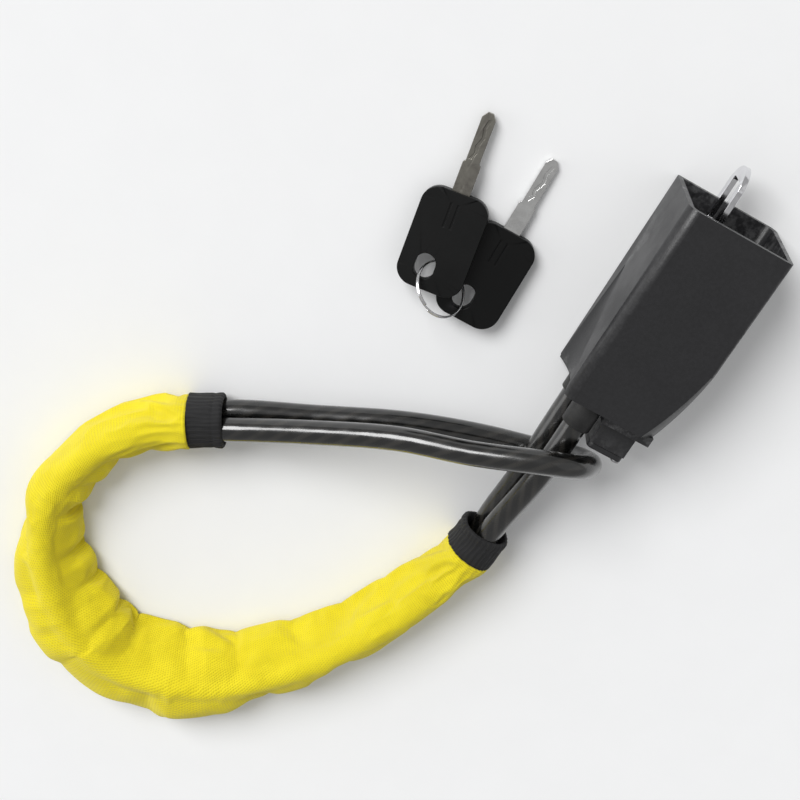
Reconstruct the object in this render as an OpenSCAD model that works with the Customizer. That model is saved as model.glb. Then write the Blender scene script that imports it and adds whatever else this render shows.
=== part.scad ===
// Cable steering wheel lock with a seat belt tongue, a fabric sleeve and a set of two keys.
// Millimetres. The housing lies on its back face: X is its width, +Y its mouth, +Z its front.

/* [Housing] */
// Width of the housing, left to right
body_w = 50; // [46:1:62]
// Length of the housing from cable end to mouth
body_l = 96; // [80:1:120]
// Depth of the housing, back face to front face
body_d = 45; // [37:0.5:56]
// Wall thickness of the hood
wall = 2.5; // [2:0.1:3.2]
// Rounding of the front left edge
front_edge_r = 5; // [2:0.5:7]
// Rounding of the back right edge
back_edge_r = 4; // [2:0.5:6]
// Thickness of the end wall that the cable passes
end_wall = 3; // [2.5:0.1:4]
// Thickness of the wall between the hood and the lock chamber
bulkhead = 2.5; // [2:0.1:3.5]
// Depth of the hood, from the mouth to the bulkhead
hood_depth = 39; // [32:0.5:48]
// Slope of the long bevel on the front right edge
bevel_tilt = 43; // [35:1:50]

/* [Cable] */
// Outer diameter of the jacketed cable
cable_d = 11; // [9:0.1:13.2]
// Diameter of the bare wire rope
rope_d = 6.5; // [5:0.1:7.8]
// Wall of the cable glands
gland_wall = 1.1; // [0.9:0.1:1.4]
// How far the lower gland stands out
lower_gland_l = 6; // [4:0.5:9]
// How far the upper gland stands out
upper_gland_l = 14; // [9:0.5:18]
// Outer diameter of the crimped sleeves
crimp_d = 9.6; // [8.4:0.1:10]
// Length of the crimped sleeves
crimp_l = 11; // [8:0.5:13]

/* [Tongue] */
// Thickness of the tongue plate
tongue_t = 2.5; // [2:0.1:3]
// Width of the tongue
tongue_w = 21; // [18:0.5:25]
// How far the tongue stands out of the mouth
tongue_reach = 21; // [16:0.5:26]
// Length of the latch window
window_l = 22; // [16:0.5:24]
// Width of the latch window
window_w = 12; // [8:0.5:14]
// Diameter of the rivets through the tongue
rivet_d = 5; // [4:0.1:6]

/* [Lock] */
// Outer diameter of the lock barrel
barrel_d = 14; // [12.6:0.1:15]
// Diameter of the plug
plug_d = 10.5; // [9.4:0.1:11]
// Length of the lock barrel
barrel_l = 38; // [38:0.5:39]
// Width of the square boss round the barrel
boss_w = 17; // [16.4:0.1:18]
// Thickness of the swinging dust cover
cover_t = 2.5; // [2:0.1:3.5]
// Travel of the release slider
travel = 6; // [5:0.1:6.4]
// Diameter of the slider's flange
flange_d = 18; // [16:0.5:18.5]
// Wire of the return spring
spring_wire = 1.1; // [0.9:0.1:1.3]

/* [Sleeve] */
// Width of the fabric sleeve beside its cuffs
sleeve_w = 26; // [22:0.5:32]
// Width of the fabric sleeve where it lies slack
sleeve_slack_w = 46; // [36:0.5:56]
// Height of the fabric sleeve
sleeve_h = 30; // [27:0.5:34]
// Width of each elastic cuff
cuff_w = 23.5; // [20:0.5:25]
// Height of each elastic cuff
cuff_h = 26.2; // [26:0.1:28]
// Length of each elastic cuff
cuff_l = 13; // [11:0.5:16]

/* [Keys] */
// Width of a key's grip
grip_w = 30; // [26:0.5:34]
// Length of a key's grip
grip_l = 45; // [38:0.5:52]
// Thickness of a key's grip
grip_t = 5; // [4.4:0.1:5.4]
// Width of the blade
blade_w = 8; // [6.8:0.1:8.2]
// Thickness of the blade
blade_t = 2.2; // [1.9:0.1:2.4]
// Length of the blade beyond the grip
blade_l = 36; // [30:0.5:37]
// Mean diameter of the split ring
ring_d = 25; // [24:0.5:28]
// Thickness of the ring's wire
ring_wire = 1.8; // [1.5:0.1:2]

/* [Hidden] */
$fn = 64;
eps = 0.5;              // how far a cutter runs past what it cuts
fit = 0.05;             // radial clearance of a pin or shaft in its hole
play = 0.2;             // clearance between parts that are only placed together
slide_gap = 0.3;        // clearance round a part that slides

// Housing places
end_y = -body_l / 2;
mouth_y = body_l / 2;
half_w = body_w / 2;
hood_y = mouth_y - hood_depth;
chamber_y0 = end_y + end_wall;
chamber_y1 = hood_y - bulkhead;
lock_x = 7;
lock_z = body_d * 0.5 + 4;
split_z = lock_z;
chamber_x0 = -half_w + 6;
chamber_x1 = lock_x + flange_d / 2 + 0.8;
chamber_z0 = 5;
chamber_z1 = body_d - 6.5;
arc_r = 170;            // plan curve of the right side
arc_y = -5;             // where that curve starts
bevel_r = 156;          // plan curve of the bevel's upper edge
bevel_y = 12;           // where the bevel fades out

// Cable places in the end wall
lower_x = -14;
lower_z = 17;
upper_x = -10;
gland_d = cable_d + 2 * play + 2 * gland_wall;
gland_spread = max(0, gland_d - 14);   // a thicker cable lifts the upper gland clear of the lower one
upper_z = 31 + gland_spread;
cable_end_y = end_y + 2;
plate_y = chamber_y0 + play;
plate_t = 3;
crimp_y = plate_y + plate_t;

// Tongue places
tongue_x = -7.5;
tongue_z = body_d / 2;
tongue_tail_y = crimp_y + crimp_l + 4;
tongue_tip_y = mouth_y + tongue_reach;
arm_t = 2.5;
rivet_y = [tongue_tail_y + 6, chamber_y1 - 7];

// Lock places, along Y
boss_y = end_y - 16.2;
barrel_y = boss_y + play;
plug_y0 = barrel_y + play;
plug_y1 = barrel_y + barrel_l;
plug_head_d = plug_d + 1.5;
plug_head_l = 1.5;
cap_t = 4.5;
cap_x0 = lock_x - 10.5;
cap_w = 23.5;
cap_z0 = 6;
cap_h = body_d - 11;
pivot_x = lock_x + boss_w / 2 - 2.2;
pivot_z = lock_z + boss_w / 2 - 2.2;
cover_pin_d = 2.4;

// Face cam: two ramps that lift the slider as the plug turns
quarter = 90;
lead = travel / quarter;
finger_a0 = 100;
finger_a1 = 145;
cam_a0 = finger_a0 - quarter - 5;
cam_base = 2.5;
cam_y = plug_y1 + play;
ramp_low = 1;
ramp_gap = 0.15;
ramp_top = ramp_low + lead * (finger_a1 - cam_a0);
ramp_r0 = 3.4;
ramp_r1 = 6.8;
flange_y = cam_y + cam_base + ramp_top + 0.4;
flange_t = 2;
rod_w = 9;
rod_h = 7;
rod_end_y = hood_y + 27;
pad_w = 12;
pad_h = 16;
pad_t = 3;

// Sleeve places: heights of the two cable runs inside it
run_low = 7.5;
run_high = 19;
run_mid = (run_low + run_high) / 2;

// Loop that both runs follow inside the sleeve, in plan
loop_path = [
    [-14, -152], [-25.5, -194], [-51.5, -240], [-89, -275.5], [-135.5, -286],
    [-173, -262], [-192.5, -224], [-186, -188], [-166.5, -162.5]
];
// How far the sleeve is filled out at each point of the loop, from 0 tight to 1 slack
slackness = [0, 0.2, 0.6, 1, 0.95, 0.75, 0.12, 0.05, 0];
// Route of the cable: lower gland, sleeve, noose round the two runs, sleeve, upper gland
lower_run = [[-14, -46, 17], [-14, -66, 17], [-14, -92, 17.6], [-13.5, -122, 11]];
noose = [
    [-140, -143.5, 7], [-105, -127, 5.6], [-71, -110.5, 5.6], [-40, -99, 5.6], [-11, -91, 5.6],
    [3, -84, 11.5], [7, -77.5, 26], [-0.5, -75, 40.5], [-15.5, -78, 46.5],
    [-45, -91.5, 43.5], [-75, -104.5, 37], [-107, -125, 27.5], [-138, -146, 19.4]
];
upper_run = [[-12, -122, 24], [-10.5, -92, upper_z - 0.4], [-10, -66, upper_z], [-10, -46, upper_z]];
route = concat(
    lower_run,
    [for (p = loop_path) [p[0], p[1], run_low]],
    noose,
    [for (i = [len(loop_path) - 1:-1:0]) [loop_path[i][0], loop_path[i][1], run_high]],
    upper_run
);
// Where the sleeve and cuffs end, as shares of the stretches that lead into the loop
sleeve_start = 0.88;
sleeve_stop = 0.52;
cuff_gap = 0.06;

// Key places: each key is drawn round its ring hole and laid down by these values
ring_tilt = 52;
ring_sag = 0.6;         // how far the ring hangs below the middle of the grips
key_1_hole = [-99, -38, 9.4];
key_2_hole = [-77, -43, 5.6];
key_1_lie = [-5.6, -10, 9.5];
key_2_lie = [-3.4, 0, 0];
hole_to_end = 10;
hole_to_side = 11.5;
slot_w = 9;
slot_l = 11.5;
blade_root = 14;

// ---------------------------------------------------------------- functions
function unit(v) = v / norm(v);
function clamp_i(i, n) = min(max(i, 0), n - 1);

// Point at share t between the inner two of four control points, on a smooth spline
function spline(a, b, c, d, t) =
    0.5 * ((2 * b) + (c - a) * t + (2 * a - 5 * b + 4 * c - d) * t * t
    + (3 * b - a - 3 * c + d) * t * t * t);

// A route with n points for each stretch between its control points
function smooth_path(p, n) = concat(
    [for (i = [0:len(p) - 2]) for (k = [0:n - 1])
        spline(i == 0 ? 2 * p[0] - p[1] : p[i - 1], p[i], p[i + 1],
            i == len(p) - 2 ? 2 * p[i + 1] - p[i] : p[i + 2], k / n)],
    [p[len(p) - 1]]
);

function tangent(p, i) = unit(p[clamp_i(i + 1, len(p))] - p[clamp_i(i - 1, len(p))]);

// Side vectors carried along a path without twist
function carried(p, i, last) =
    let (t = tangent(p, i), s = last - (last * t) * t) unit(s);
function sides_of(p, start) =
    [for (i = 0, s = carried(p, 0, start); i < len(p); i = i + 1,
        s = i < len(p) ? carried(p, i, s) : s) s];

// ---------------------------------------------------------------- general shapes
// Closed round tube swept along a list of points
module swept_rod(p, r, n, start) {
    side = sides_of(p, start);
    rings = [for (i = [0:len(p) - 1]) let (t = tangent(p, i), s = side[i], u = cross(t, s))
        for (k = [0:n - 1]) p[i] + r * (cos(360 * k / n) * s + sin(360 * k / n) * u)];
    last = len(p) - 1;
    polyhedron(
        points = rings,
        faces = concat(
            [[for (k = [n - 1:-1:0]) k]],
            [[for (k = [0:n - 1]) last * n + k]],
            [for (i = [0:last - 1]) for (k = [0:n - 1])
                [i * n + k, i * n + (k + 1) % n, (i + 1) * n + (k + 1) % n]],
            [for (i = [0:last - 1]) for (k = [0:n - 1])
                [i * n + k, (i + 1) * n + (k + 1) % n, (i + 1) * n + k]]
        )
    );
}

// One point of an upright stadium round c: radius r, straight sides of length h
function stadium(c, side, r, h, a) =
    c + r * cos(a) * side + [0, 0, r * sin(a) + sign(sin(a)) * h / 2];

// Fabric tube along a path: a stadium bore centred on the path, inside an oval from bottom to top
module fabric_tube(p, bore_r, bore_h, half_width, bottom, top) {
    n = 12;
    m = len(p);
    grow = 1 / cos(180 / n);
    rings = [for (i = [0:m - 1])
        let (t = tangent(p, i), s = unit([-t[1], t[0], 0]), low = bottom[i], high = top[i],
            mid = [p[i][0], p[i][1], (low + high) / 2])
        for (k = [0:2 * n - 1])
            let (a = 360 * ((k % n) + 0.5) / n)
            k < n ? mid + half_width[i] * grow * cos(a) * s + [0, 0, (high - low) / 2 * sin(a) / cos(180 / n)]
                : stadium(p[i], s, bore_r * grow, bore_h, a)];
    w = 2 * n;
    polyhedron(
        points = rings,
        faces = concat(
            [for (i = [0:m - 2]) for (k = [0:n - 1]) let (j = (k + 1) % n)
                [i * w + k, (i + 1) * w + k, (i + 1) * w + j]],
            [for (i = [0:m - 2]) for (k = [0:n - 1]) let (j = (k + 1) % n)
                [i * w + k, (i + 1) * w + j, i * w + j]],
            [for (i = [0:m - 2]) for (k = [0:n - 1]) let (j = (k + 1) % n)
                [i * w + n + k, (i + 1) * w + n + j, (i + 1) * w + n + k]],
            [for (i = [0:m - 2]) for (k = [0:n - 1]) let (j = (k + 1) % n)
                [i * w + n + k, i * w + n + j, (i + 1) * w + n + j]],
            [for (k = [0:n - 1]) let (j = (k + 1) % n) [k, j, n + j]],
            [for (k = [0:n - 1]) let (j = (k + 1) % n) [k, n + j, n + k]],
            [for (k = [0:n - 1]) let (j = (k + 1) % n, e = (m - 1) * w) [e + k, e + n + j, e + j]],
            [for (k = [0:n - 1]) let (j = (k + 1) % n, e = (m - 1) * w)
                [e + k, e + n + k, e + n + j]]
        )
    );
}

// Cylinder along +Y from y0 to y1
module rod_y(x, z, d, y0, y1) {
    translate([x, y0, z]) rotate([-90, 0, 0]) cylinder(d = d, h = y1 - y0);
}

// Box from corner a to corner b
module box(a, b) {
    translate(a) cube(b - a);
}

// What a rounding of radius r takes off an edge along Y; sx and sz point out of the solid
module edge_cut(x, z, r, sx, sz) {
    difference() {
        box([min(x - sx * r, x + sx * eps), end_y - eps, min(z - sz * r, z + sz * eps)],
            [max(x - sx * r, x + sx * eps), mouth_y + eps, max(z - sz * r, z + sz * eps)]);
        rod_y(x - sx * r, z - sz * r, 2 * r, end_y - 2 * eps, mouth_y + 2 * eps);
    }
}

// Ramp between two radii, from angle a0 to a1; its ends are low and high at each angle
module ramp(r0, r1, a0, a1, low0, low1, high0, high1) {
    steps = 12;
    p = [for (i = [0:steps]) let (t = i / steps, a = a0 + (a1 - a0) * t,
            low = low0 + (low1 - low0) * t, high = high0 + (high1 - high0) * t)
        each [
            [r0 * cos(a), r0 * sin(a), low], [r1 * cos(a), r1 * sin(a), low],
            [r1 * cos(a), r1 * sin(a), high], [r0 * cos(a), r0 * sin(a), high]
        ]];
    polyhedron(
        points = p,
        faces = concat(
            [[3, 2, 1, 0]],
            [[steps * 4, steps * 4 + 1, steps * 4 + 2, steps * 4 + 3]],
            [for (i = [0:steps - 1]) for (k = [0:3]) let (j = (k + 1) % 4)
                [i * 4 + k, (i + 1) * 4 + j, (i + 1) * 4 + k]],
            [for (i = [0:steps - 1]) for (k = [0:3]) let (j = (k + 1) % 4)
                [i * 4 + k, i * 4 + j, (i + 1) * 4 + j]]
        )
    );
}

// ---------------------------------------------------------------- housing
screw_places = [[half_w - 4.2, -14], [half_w - 4.2, 3], [-half_w + 3, 3]];
screw_d = 3;
screw_head_d = 5.4;
screw_top = body_d - 9;
cap_screw_places = [[lock_x - 6, 11.5], [lock_x + 8, 11.5]];

module housing_block() {
    difference() {
        box([-half_w, end_y, 0], [half_w, mouth_y, body_d]);
        // long plan curve of the right side
        difference() {
            box([0, end_y - eps, -eps], [half_w + eps, arc_y, body_d + eps]);
            translate([half_w - arc_r, arc_y, -1]) cylinder(r = arc_r, h = body_d + 2, $fn = 360);
        }
        // bevel that widens towards the cable end
        difference() {
            box([0, end_y - eps, body_d / 2], [half_w + eps, bevel_y, body_d + eps]);
            bevel_cylinder();
        }
        edge_cut(-half_w, body_d, front_edge_r, -1, 1);
        edge_cut(-half_w, 0, 1.5, -1, -1);
        edge_cut(half_w, 0, back_edge_r, 1, -1);
        edge_cut(half_w, body_d, 2, 1, 1);
        side_flute();
        // the back plate stops short of the cable end
        box([-half_w - eps, end_y - eps, -eps], [cap_x0, end_y + 1.2, 1.8]);
    }
}

// Tilted cylinder whose side is the bevel's surface
module bevel_cylinder() {
    turn = asin((bevel_y - end_y) / 2 / bevel_r);
    r = bevel_r / cos(bevel_tilt);
    reach = r / cos(bevel_tilt);
    vertex = [half_w - bevel_r + bevel_r * cos(turn), bevel_y - bevel_r * sin(turn)];
    translate([vertex[0] - reach * cos(turn), vertex[1] + reach * sin(turn), body_d])
        rotate([0, 0, -turn])
        rotate([0, -bevel_tilt, 0])
        cylinder(r = r, h = 600, center = true, $fn = 360);
}

// Conical flute in the left side, from a point near the middle to the cable end
module side_flute() {
    tip = [-half_w, end_y + 53, 10];
    axis = unit([-0.58, -0.8, 0.15]);
    translate(tip)
        rotate([0, acos(axis[2]), atan2(axis[1], axis[0])])
        cylinder(h = 70, r1 = 0.3, r2 = 0.3 + 70 * tan(39.9), $fn = 180);
}

module housing_hollow() {
    // hood
    difference() {
        box([-half_w + wall, hood_y, wall], [half_w - wall, mouth_y + eps, body_d - wall]);
        edge_cut(half_w - wall, wall, back_edge_r, 1, -1);
        edge_cut(-half_w + wall, body_d - wall, front_edge_r - wall, -1, 1);
    }
    // lock chamber
    box([chamber_x0, chamber_y0, chamber_z0], [chamber_x1, chamber_y1, chamber_z1]);
    // tongue slot and slider window
    box([tongue_x - tongue_t / 2 - play, chamber_y1 - eps, tongue_z - tongue_w / 2 - play],
        [tongue_x + tongue_t / 2 + play, hood_y + eps, tongue_z + tongue_w / 2 + play]);
    box([lock_x - rod_w / 2 - slide_gap, chamber_y1 - eps, lock_z - rod_h / 2 - slide_gap],
        [lock_x + rod_w / 2 + slide_gap, hood_y + eps, lock_z + rod_h / 2 + slide_gap]);
    // glands and barrel through the end wall
    rod_y(lower_x, lower_z, gland_d, end_y - eps, chamber_y0 + eps);
    rod_y(upper_x, upper_z, gland_d, end_y - eps, chamber_y0 + eps);
    rod_y(lock_x, lock_z, barrel_d + 2 * play, end_y - eps, chamber_y0 + eps);
    // screws
    for (p = screw_places) {
        translate([p[0], p[1], 0]) cylinder(d = screw_d + 2 * fit, h = screw_top);
        translate([p[0], p[1], -eps]) cylinder(d = screw_head_d + 2 * play, h = eps + 2.4);
    }
    for (p = cap_screw_places) {
        rod_y(p[0], p[1], screw_d + 2 * fit, end_y - eps, chamber_y0 + eps);
    }
}

module back_shell() {
    color([0.2, 0.2, 0.21])
    difference() {
        intersection() {
            housing_block();
            box([-body_w, -body_l, -1], [body_w, body_l, split_z]);
        }
        housing_hollow();
    }
}

module front_shell() {
    color([0.2, 0.2, 0.21])
    difference() {
        intersection() {
            housing_block();
            box([-body_w, -body_l, split_z], [body_w, body_l, body_d + 1]);
        }
        housing_hollow();
    }
}

module end_cap() {
    color([0.17, 0.17, 0.18])
    difference() {
        union() {
            box([cap_x0, end_y - cap_t, cap_z0], [cap_x0 + cap_w, end_y, cap_z0 + cap_h]);
            box([lock_x - boss_w / 2, boss_y, lock_z - boss_w / 2],
                [lock_x + boss_w / 2, end_y - cap_t + eps, lock_z + boss_w / 2]);
        }
        rod_y(lock_x, lock_z, barrel_d + 2 * fit, boss_y - eps, end_y + eps);
        rod_y(pivot_x, pivot_z, cover_pin_d, boss_y - eps, boss_y + 8);
        rod_y(upper_x, upper_z, gland_d + 2 * play, end_y - cap_t - eps, end_y + eps);
        translate([lock_x, boss_y + 5, lock_z - boss_w / 2 - eps])
            cylinder(d = screw_d + 2 * fit, h = boss_w / 2);
        for (p = cap_screw_places) {
            rod_y(p[0], p[1], screw_d + 2 * fit, end_y - cap_t - eps, end_y + eps);
            rod_y(p[0], p[1], screw_head_d + 2 * play, end_y - cap_t - eps, end_y - cap_t + 2.2);
        }
    }
}

module shell_screws() {
    color([0.55, 0.55, 0.57])
    for (p = screw_places) {
        translate([p[0], p[1], 0.4])
        difference() {
            union() {
                cylinder(d = screw_head_d, h = 2);
                cylinder(d = screw_d, h = screw_top - 1);
            }
            translate([-2, -0.4, -eps]) cube([4, 0.8, eps + 0.8]);
            translate([-0.4, -2, -eps]) cube([0.8, 4, eps + 0.8]);
        }
    }
}

module end_cap_screws() {
    color([0.55, 0.55, 0.57])
    for (p = cap_screw_places) {
        difference() {
            union() {
                rod_y(p[0], p[1], screw_head_d, end_y - cap_t + 0.2, end_y - cap_t + 2.2);
                rod_y(p[0], p[1], screw_d, end_y - cap_t + 2, chamber_y0 + 2);
            }
            box([p[0] - 2, end_y - cap_t - eps, p[1] - 0.4], [p[0] + 2, end_y - cap_t + 1, p[1] + 0.4]);
            box([p[0] - 0.4, end_y - cap_t - eps, p[1] - 2], [p[0] + 0.4, end_y - cap_t + 1, p[1] + 2]);
        }
    }
}

// ---------------------------------------------------------------- cable and its anchorage
module gland(x, z, stand_out) {
    difference() {
        union() {
            rod_y(x, z, gland_d - 2 * fit, end_y - stand_out, chamber_y0);
            rod_y(x, z, gland_d - 2 * fit, end_y - stand_out, end_y - stand_out + 2);
        }
        rod_y(x, z, cable_d + 2 * play, end_y - stand_out - eps, chamber_y0 + eps);
    }
}

module lower_gland() {
    color([0.12, 0.12, 0.12]) gland(lower_x, lower_z, lower_gland_l);
}

module upper_gland() {
    color([0.12, 0.12, 0.12]) gland(upper_x, upper_z, upper_gland_l);
}

module cable() {
    color([0.1, 0.1, 0.09]) swept_rod(smooth_path(route, 2), cable_d / 2, 10, [1, 0, 0]);
}

module rope_end(x, z) {
    rod_y(x, z, rope_d, cable_end_y, crimp_y + crimp_l + 1.5);
}

module lower_rope_end() {
    color([0.5, 0.5, 0.52]) rope_end(lower_x, lower_z);
}

module upper_rope_end() {
    color([0.5, 0.5, 0.52]) rope_end(upper_x, upper_z);
}

module crimp(x, z) {
    difference() {
        rod_y(x, z, crimp_d, crimp_y, crimp_y + crimp_l);
        rod_y(x, z, rope_d + 2 * fit, crimp_y - eps, crimp_y + crimp_l + eps);
    }
}

module lower_crimp() {
    color([0.62, 0.62, 0.6]) crimp(lower_x, lower_z);
}

module upper_crimp() {
    color([0.62, 0.62, 0.6]) crimp(upper_x, upper_z);
}

// Plate that the crimps pull on, with an arm to the tongue
module anchor_bracket() {
    arm_x0 = tongue_x + tongue_t / 2;
    arm_z0 = tongue_z - tongue_w / 2;
    color([0.6, 0.58, 0.5])
    difference() {
        union() {
            box([chamber_x0 + play, plate_y, lower_z - 9], [arm_x0 + arm_t, crimp_y, min(upper_z + 7, body_d - 7)]);
            box([arm_x0, crimp_y - eps, arm_z0],
                [arm_x0 + arm_t, tongue_tail_y + 1, upper_z - crimp_d / 2 - 1.5]);
            box([arm_x0, tongue_tail_y, arm_z0],
                [arm_x0 + arm_t, chamber_y1 - 1, tongue_z + tongue_w / 2]);
        }
        rod_y(lower_x, lower_z, rope_d + 2 * play, plate_y - eps, crimp_y + eps);
        rod_y(upper_x, upper_z, rope_d + 2 * play, plate_y - eps, crimp_y + eps);
        rivet_holes();
    }
}

module rivet_holes() {
    for (y = rivet_y) {
        translate([tongue_x - 6, y, tongue_z]) rotate([0, 90, 0])
            cylinder(d = rivet_d + 2 * fit, h = 12);
    }
}

module tongue() {
    x0 = tongue_x - tongue_t / 2;
    tip_r = tongue_w / 2;
    shoulder_y = tongue_tip_y - tip_r * 0.8;
    color([0.82, 0.82, 0.83])
    difference() {
        intersection() {
            box([x0, tongue_tail_y, tongue_z - tongue_w / 2],
                [x0 + tongue_t, tongue_tip_y, tongue_z + tongue_w / 2]);
            union() {
                box([x0, tongue_tail_y, 0], [x0 + tongue_t, shoulder_y, body_d]);
                translate([x0, shoulder_y - tip_r * 0.2, tongue_z]) rotate([0, 90, 0])
                    cylinder(r = tip_r, h = tongue_t);
            }
        }
        latch_window(x0);
        rivet_holes();
    }
}

// Window with rounded corners that the buckle's latch drops into
module latch_window(x0) {
    y1 = tongue_tip_y - 6;
    y0 = y1 - window_l;
    r = 2;
    z0 = tongue_z - window_w / 2;
    box([x0 - eps, y0 + r, z0], [x0 + tongue_t + eps, y1 - r, z0 + window_w]);
    box([x0 - eps, y0, z0 + r], [x0 + tongue_t + eps, y1, z0 + window_w - r]);
    for (y = [y0 + r, y1 - r]) for (z = [z0 + r, z0 + window_w - r]) {
        translate([x0 - eps, y, z]) rotate([0, 90, 0]) cylinder(r = r, h = tongue_t + 2 * eps);
    }
}

module tongue_rivets() {
    color([0.7, 0.7, 0.72])
    for (y = rivet_y) {
        translate([tongue_x - tongue_t / 2 - 1.2, y, tongue_z]) rotate([0, 90, 0]) {
            cylinder(d = rivet_d, h = tongue_t + arm_t + 2.4);
            cylinder(d = rivet_d + 3, h = 1.15);
            translate([0, 0, tongue_t + arm_t + 1.25]) cylinder(d = rivet_d + 3, h = 1.15);
        }
    }
}

// ---------------------------------------------------------------- lock
module lock_barrel() {
    color([0.72, 0.66, 0.5])
    difference() {
        rod_y(lock_x, lock_z, barrel_d, barrel_y, plug_y1);
        rod_y(lock_x, lock_z, plug_d + 2 * fit, barrel_y - eps, plug_y1 + eps);
        rod_y(lock_x, lock_z, plug_head_d + 2 * fit, barrel_y - eps, plug_y0 + plug_head_l + play);
        translate([lock_x, boss_y + 5, lock_z - barrel_d / 2 - eps]) cylinder(d = 3.4, h = eps + 0.9);
    }
}

module barrel_grub_screw() {
    color([0.3, 0.3, 0.32])
    translate([lock_x, boss_y + 5, lock_z - boss_w / 2 + 0.3])
    difference() {
        cylinder(d = screw_d, h = boss_w / 2 - barrel_d / 2 + 0.4);
        translate([0, 0, -eps]) cylinder(d = 1.5, h = eps + 0.9, $fn = 6);
    }
}

module lock_plug() {
    color([0.8, 0.72, 0.5])
    difference() {
        union() {
            rod_y(lock_x, lock_z, plug_d, plug_y0, cam_y);
            rod_y(lock_x, lock_z, plug_head_d, plug_y0, plug_y0 + plug_head_l);
        }
        box([lock_x - blade_t / 2 - play, plug_y0 - eps, lock_z - blade_w / 2 - play],
            [lock_x + blade_t / 2 + play, plug_y0 + barrel_l - 1.5, lock_z + blade_w / 2 + play]);
    }
}

module cam() {
    color([0.66, 0.66, 0.68])
    translate([lock_x, cam_y, lock_z]) rotate([-90, 0, 0])
    difference() {
        union() {
            cylinder(r = ramp_r1 + 0.2, h = cam_base);
            for (half = [0, 180]) rotate([0, 0, half]) {
                ramp(ramp_r0, ramp_r1, cam_a0, finger_a1, cam_base - eps, cam_base - eps,
                    cam_base + ramp_top, cam_base + ramp_low);
            }
        }
        translate([0, 0, -eps]) cylinder(d = 2.4 + 2 * fit, h = cam_base + 2 * eps);
    }
}

module cam_screw() {
    color([0.5, 0.5, 0.52])
    translate([lock_x, cam_y, lock_z]) rotate([-90, 0, 0])
    difference() {
        union() {
            translate([0, 0, 0]) cylinder(d = 2.4, h = cam_base + 1);
            translate([0, 0, cam_base]) cylinder(d = 5.4, h = 1.6);
        }
        translate([-2, -0.4, cam_base + 0.9]) cube([4, 0.8, 1]);
    }
}

module release_slider() {
    low = ramp_gap + ramp_low;
    color([0.16, 0.16, 0.17])
    difference() {
        union() {
            rod_y(lock_x, lock_z, flange_d, flange_y, flange_y + flange_t);
            translate([lock_x, cam_y + cam_base, lock_z]) rotate([-90, 0, 0])
                for (half = [0, 180]) rotate([0, 0, half]) {
                    ramp(ramp_r0, ramp_r1, finger_a0, finger_a1,
                        low + lead * (finger_a1 - finger_a0), low,
                        flange_y + eps - cam_y - cam_base, flange_y + eps - cam_y - cam_base);
                }
            box([lock_x - rod_w / 2, flange_y + flange_t - eps, lock_z - rod_h / 2],
                [lock_x + rod_w / 2, rod_end_y, lock_z + rod_h / 2]);
            box([lock_x - pad_w / 2, rod_end_y - eps, lock_z - pad_h / 2 - 1],
                [lock_x + pad_w / 2, rod_end_y + pad_t, lock_z + pad_h / 2 - 1]);
        }
    }
}

// Coil spring round the slider's rod, between its flange and the bulkhead
module return_spring() {
    y0 = flange_y + flange_t + 0.05;
    y1 = chamber_y1 - 0.05;
    r = 6.9;
    turns = 4;
    steps = turns * 12;
    coil = [for (i = [0:steps]) let (a = 360 * turns * i / steps)
        [lock_x + r * cos(a), y0 + spring_wire / 2 + (y1 - y0 - spring_wire) * i / steps,
            lock_z + r * sin(a)]];
    color([0.6, 0.6, 0.62]) swept_rod(coil, spring_wire / 2, 8, [1, 0, 0]);
}

module dust_cover() {
    r = 2.2;
    x0 = lock_x - boss_w / 2;
    x1 = lock_x + boss_w / 2;
    z0 = lock_z - boss_w / 2;
    z1 = lock_z + boss_w / 2;
    y1 = boss_y - play;
    y0 = y1 - cover_t;
    color([0.13, 0.13, 0.14])
    difference() {
        union() {
            box([x0 + r, y0, z0], [x1 - r, y1, z1]);
            box([x0, y0, z0 + r], [x1, y1, z1 - r]);
            for (x = [x0 + r, x1 - r]) for (z = [z0 + r, z1 - r]) rod_y(x, z, 2 * r, y0, y1);
            // grip rib at the free edge
            box([x0 + 1, y0 - 1, z0 + 3], [x0 + 2.4, y0 + eps, z1 - 6]);
        }
        rod_y(pivot_x, pivot_z, cover_pin_d + 2 * fit, y0 - eps, y1 + eps);
    }
}

module dust_cover_pin() {
    y1 = boss_y - play;
    y0 = y1 - cover_t - 0.15;
    color([0.6, 0.6, 0.62])
    union() {
        rod_y(pivot_x, pivot_z, cover_pin_d, y0 - 0.5, boss_y + 8);
        rod_y(pivot_x, pivot_z, cover_pin_d + 1.6, y0 - 0.8, y0);
    }
}

// ---------------------------------------------------------------- sleeve
bore_r = cable_d / 2 + 0.9;
bore_h = run_high - run_low;
last = len(loop_path) - 1;
low_loop = [for (p = loop_path) [p[0], p[1], run_low]];
high_loop = [for (p = loop_path) [p[0], p[1], run_high]];

// Line midway between the two runs, at share t of the stretch from a gland or the noose to the loop
function lower_lead(t) =
    (spline(lower_run[2], lower_run[3], low_loop[0], low_loop[1], t)
    + spline(upper_run[1], upper_run[0], high_loop[0], high_loop[1], t)) / 2;
function upper_lead(t) =
    (spline(noose[1], noose[0], low_loop[last], low_loop[last - 1], t)
    + spline(noose[len(noose) - 2], noose[len(noose) - 1], high_loop[last], high_loop[last - 1], t)) / 2;
function at_mid(p) = [p[0], p[1], run_mid];

sleeve_line = concat(
    [at_mid(lower_lead(sleeve_start))],
    [for (i = [0:last - 1]) for (k = [0:1])
        at_mid(spline(i == 0 ? lower_run[3] : low_loop[i - 1], low_loop[i], low_loop[i + 1],
            i == last - 1 ? noose[0] : low_loop[i + 2], k / 2))],
    [at_mid(low_loop[last]), at_mid(upper_lead(sleeve_stop))]
);

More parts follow.
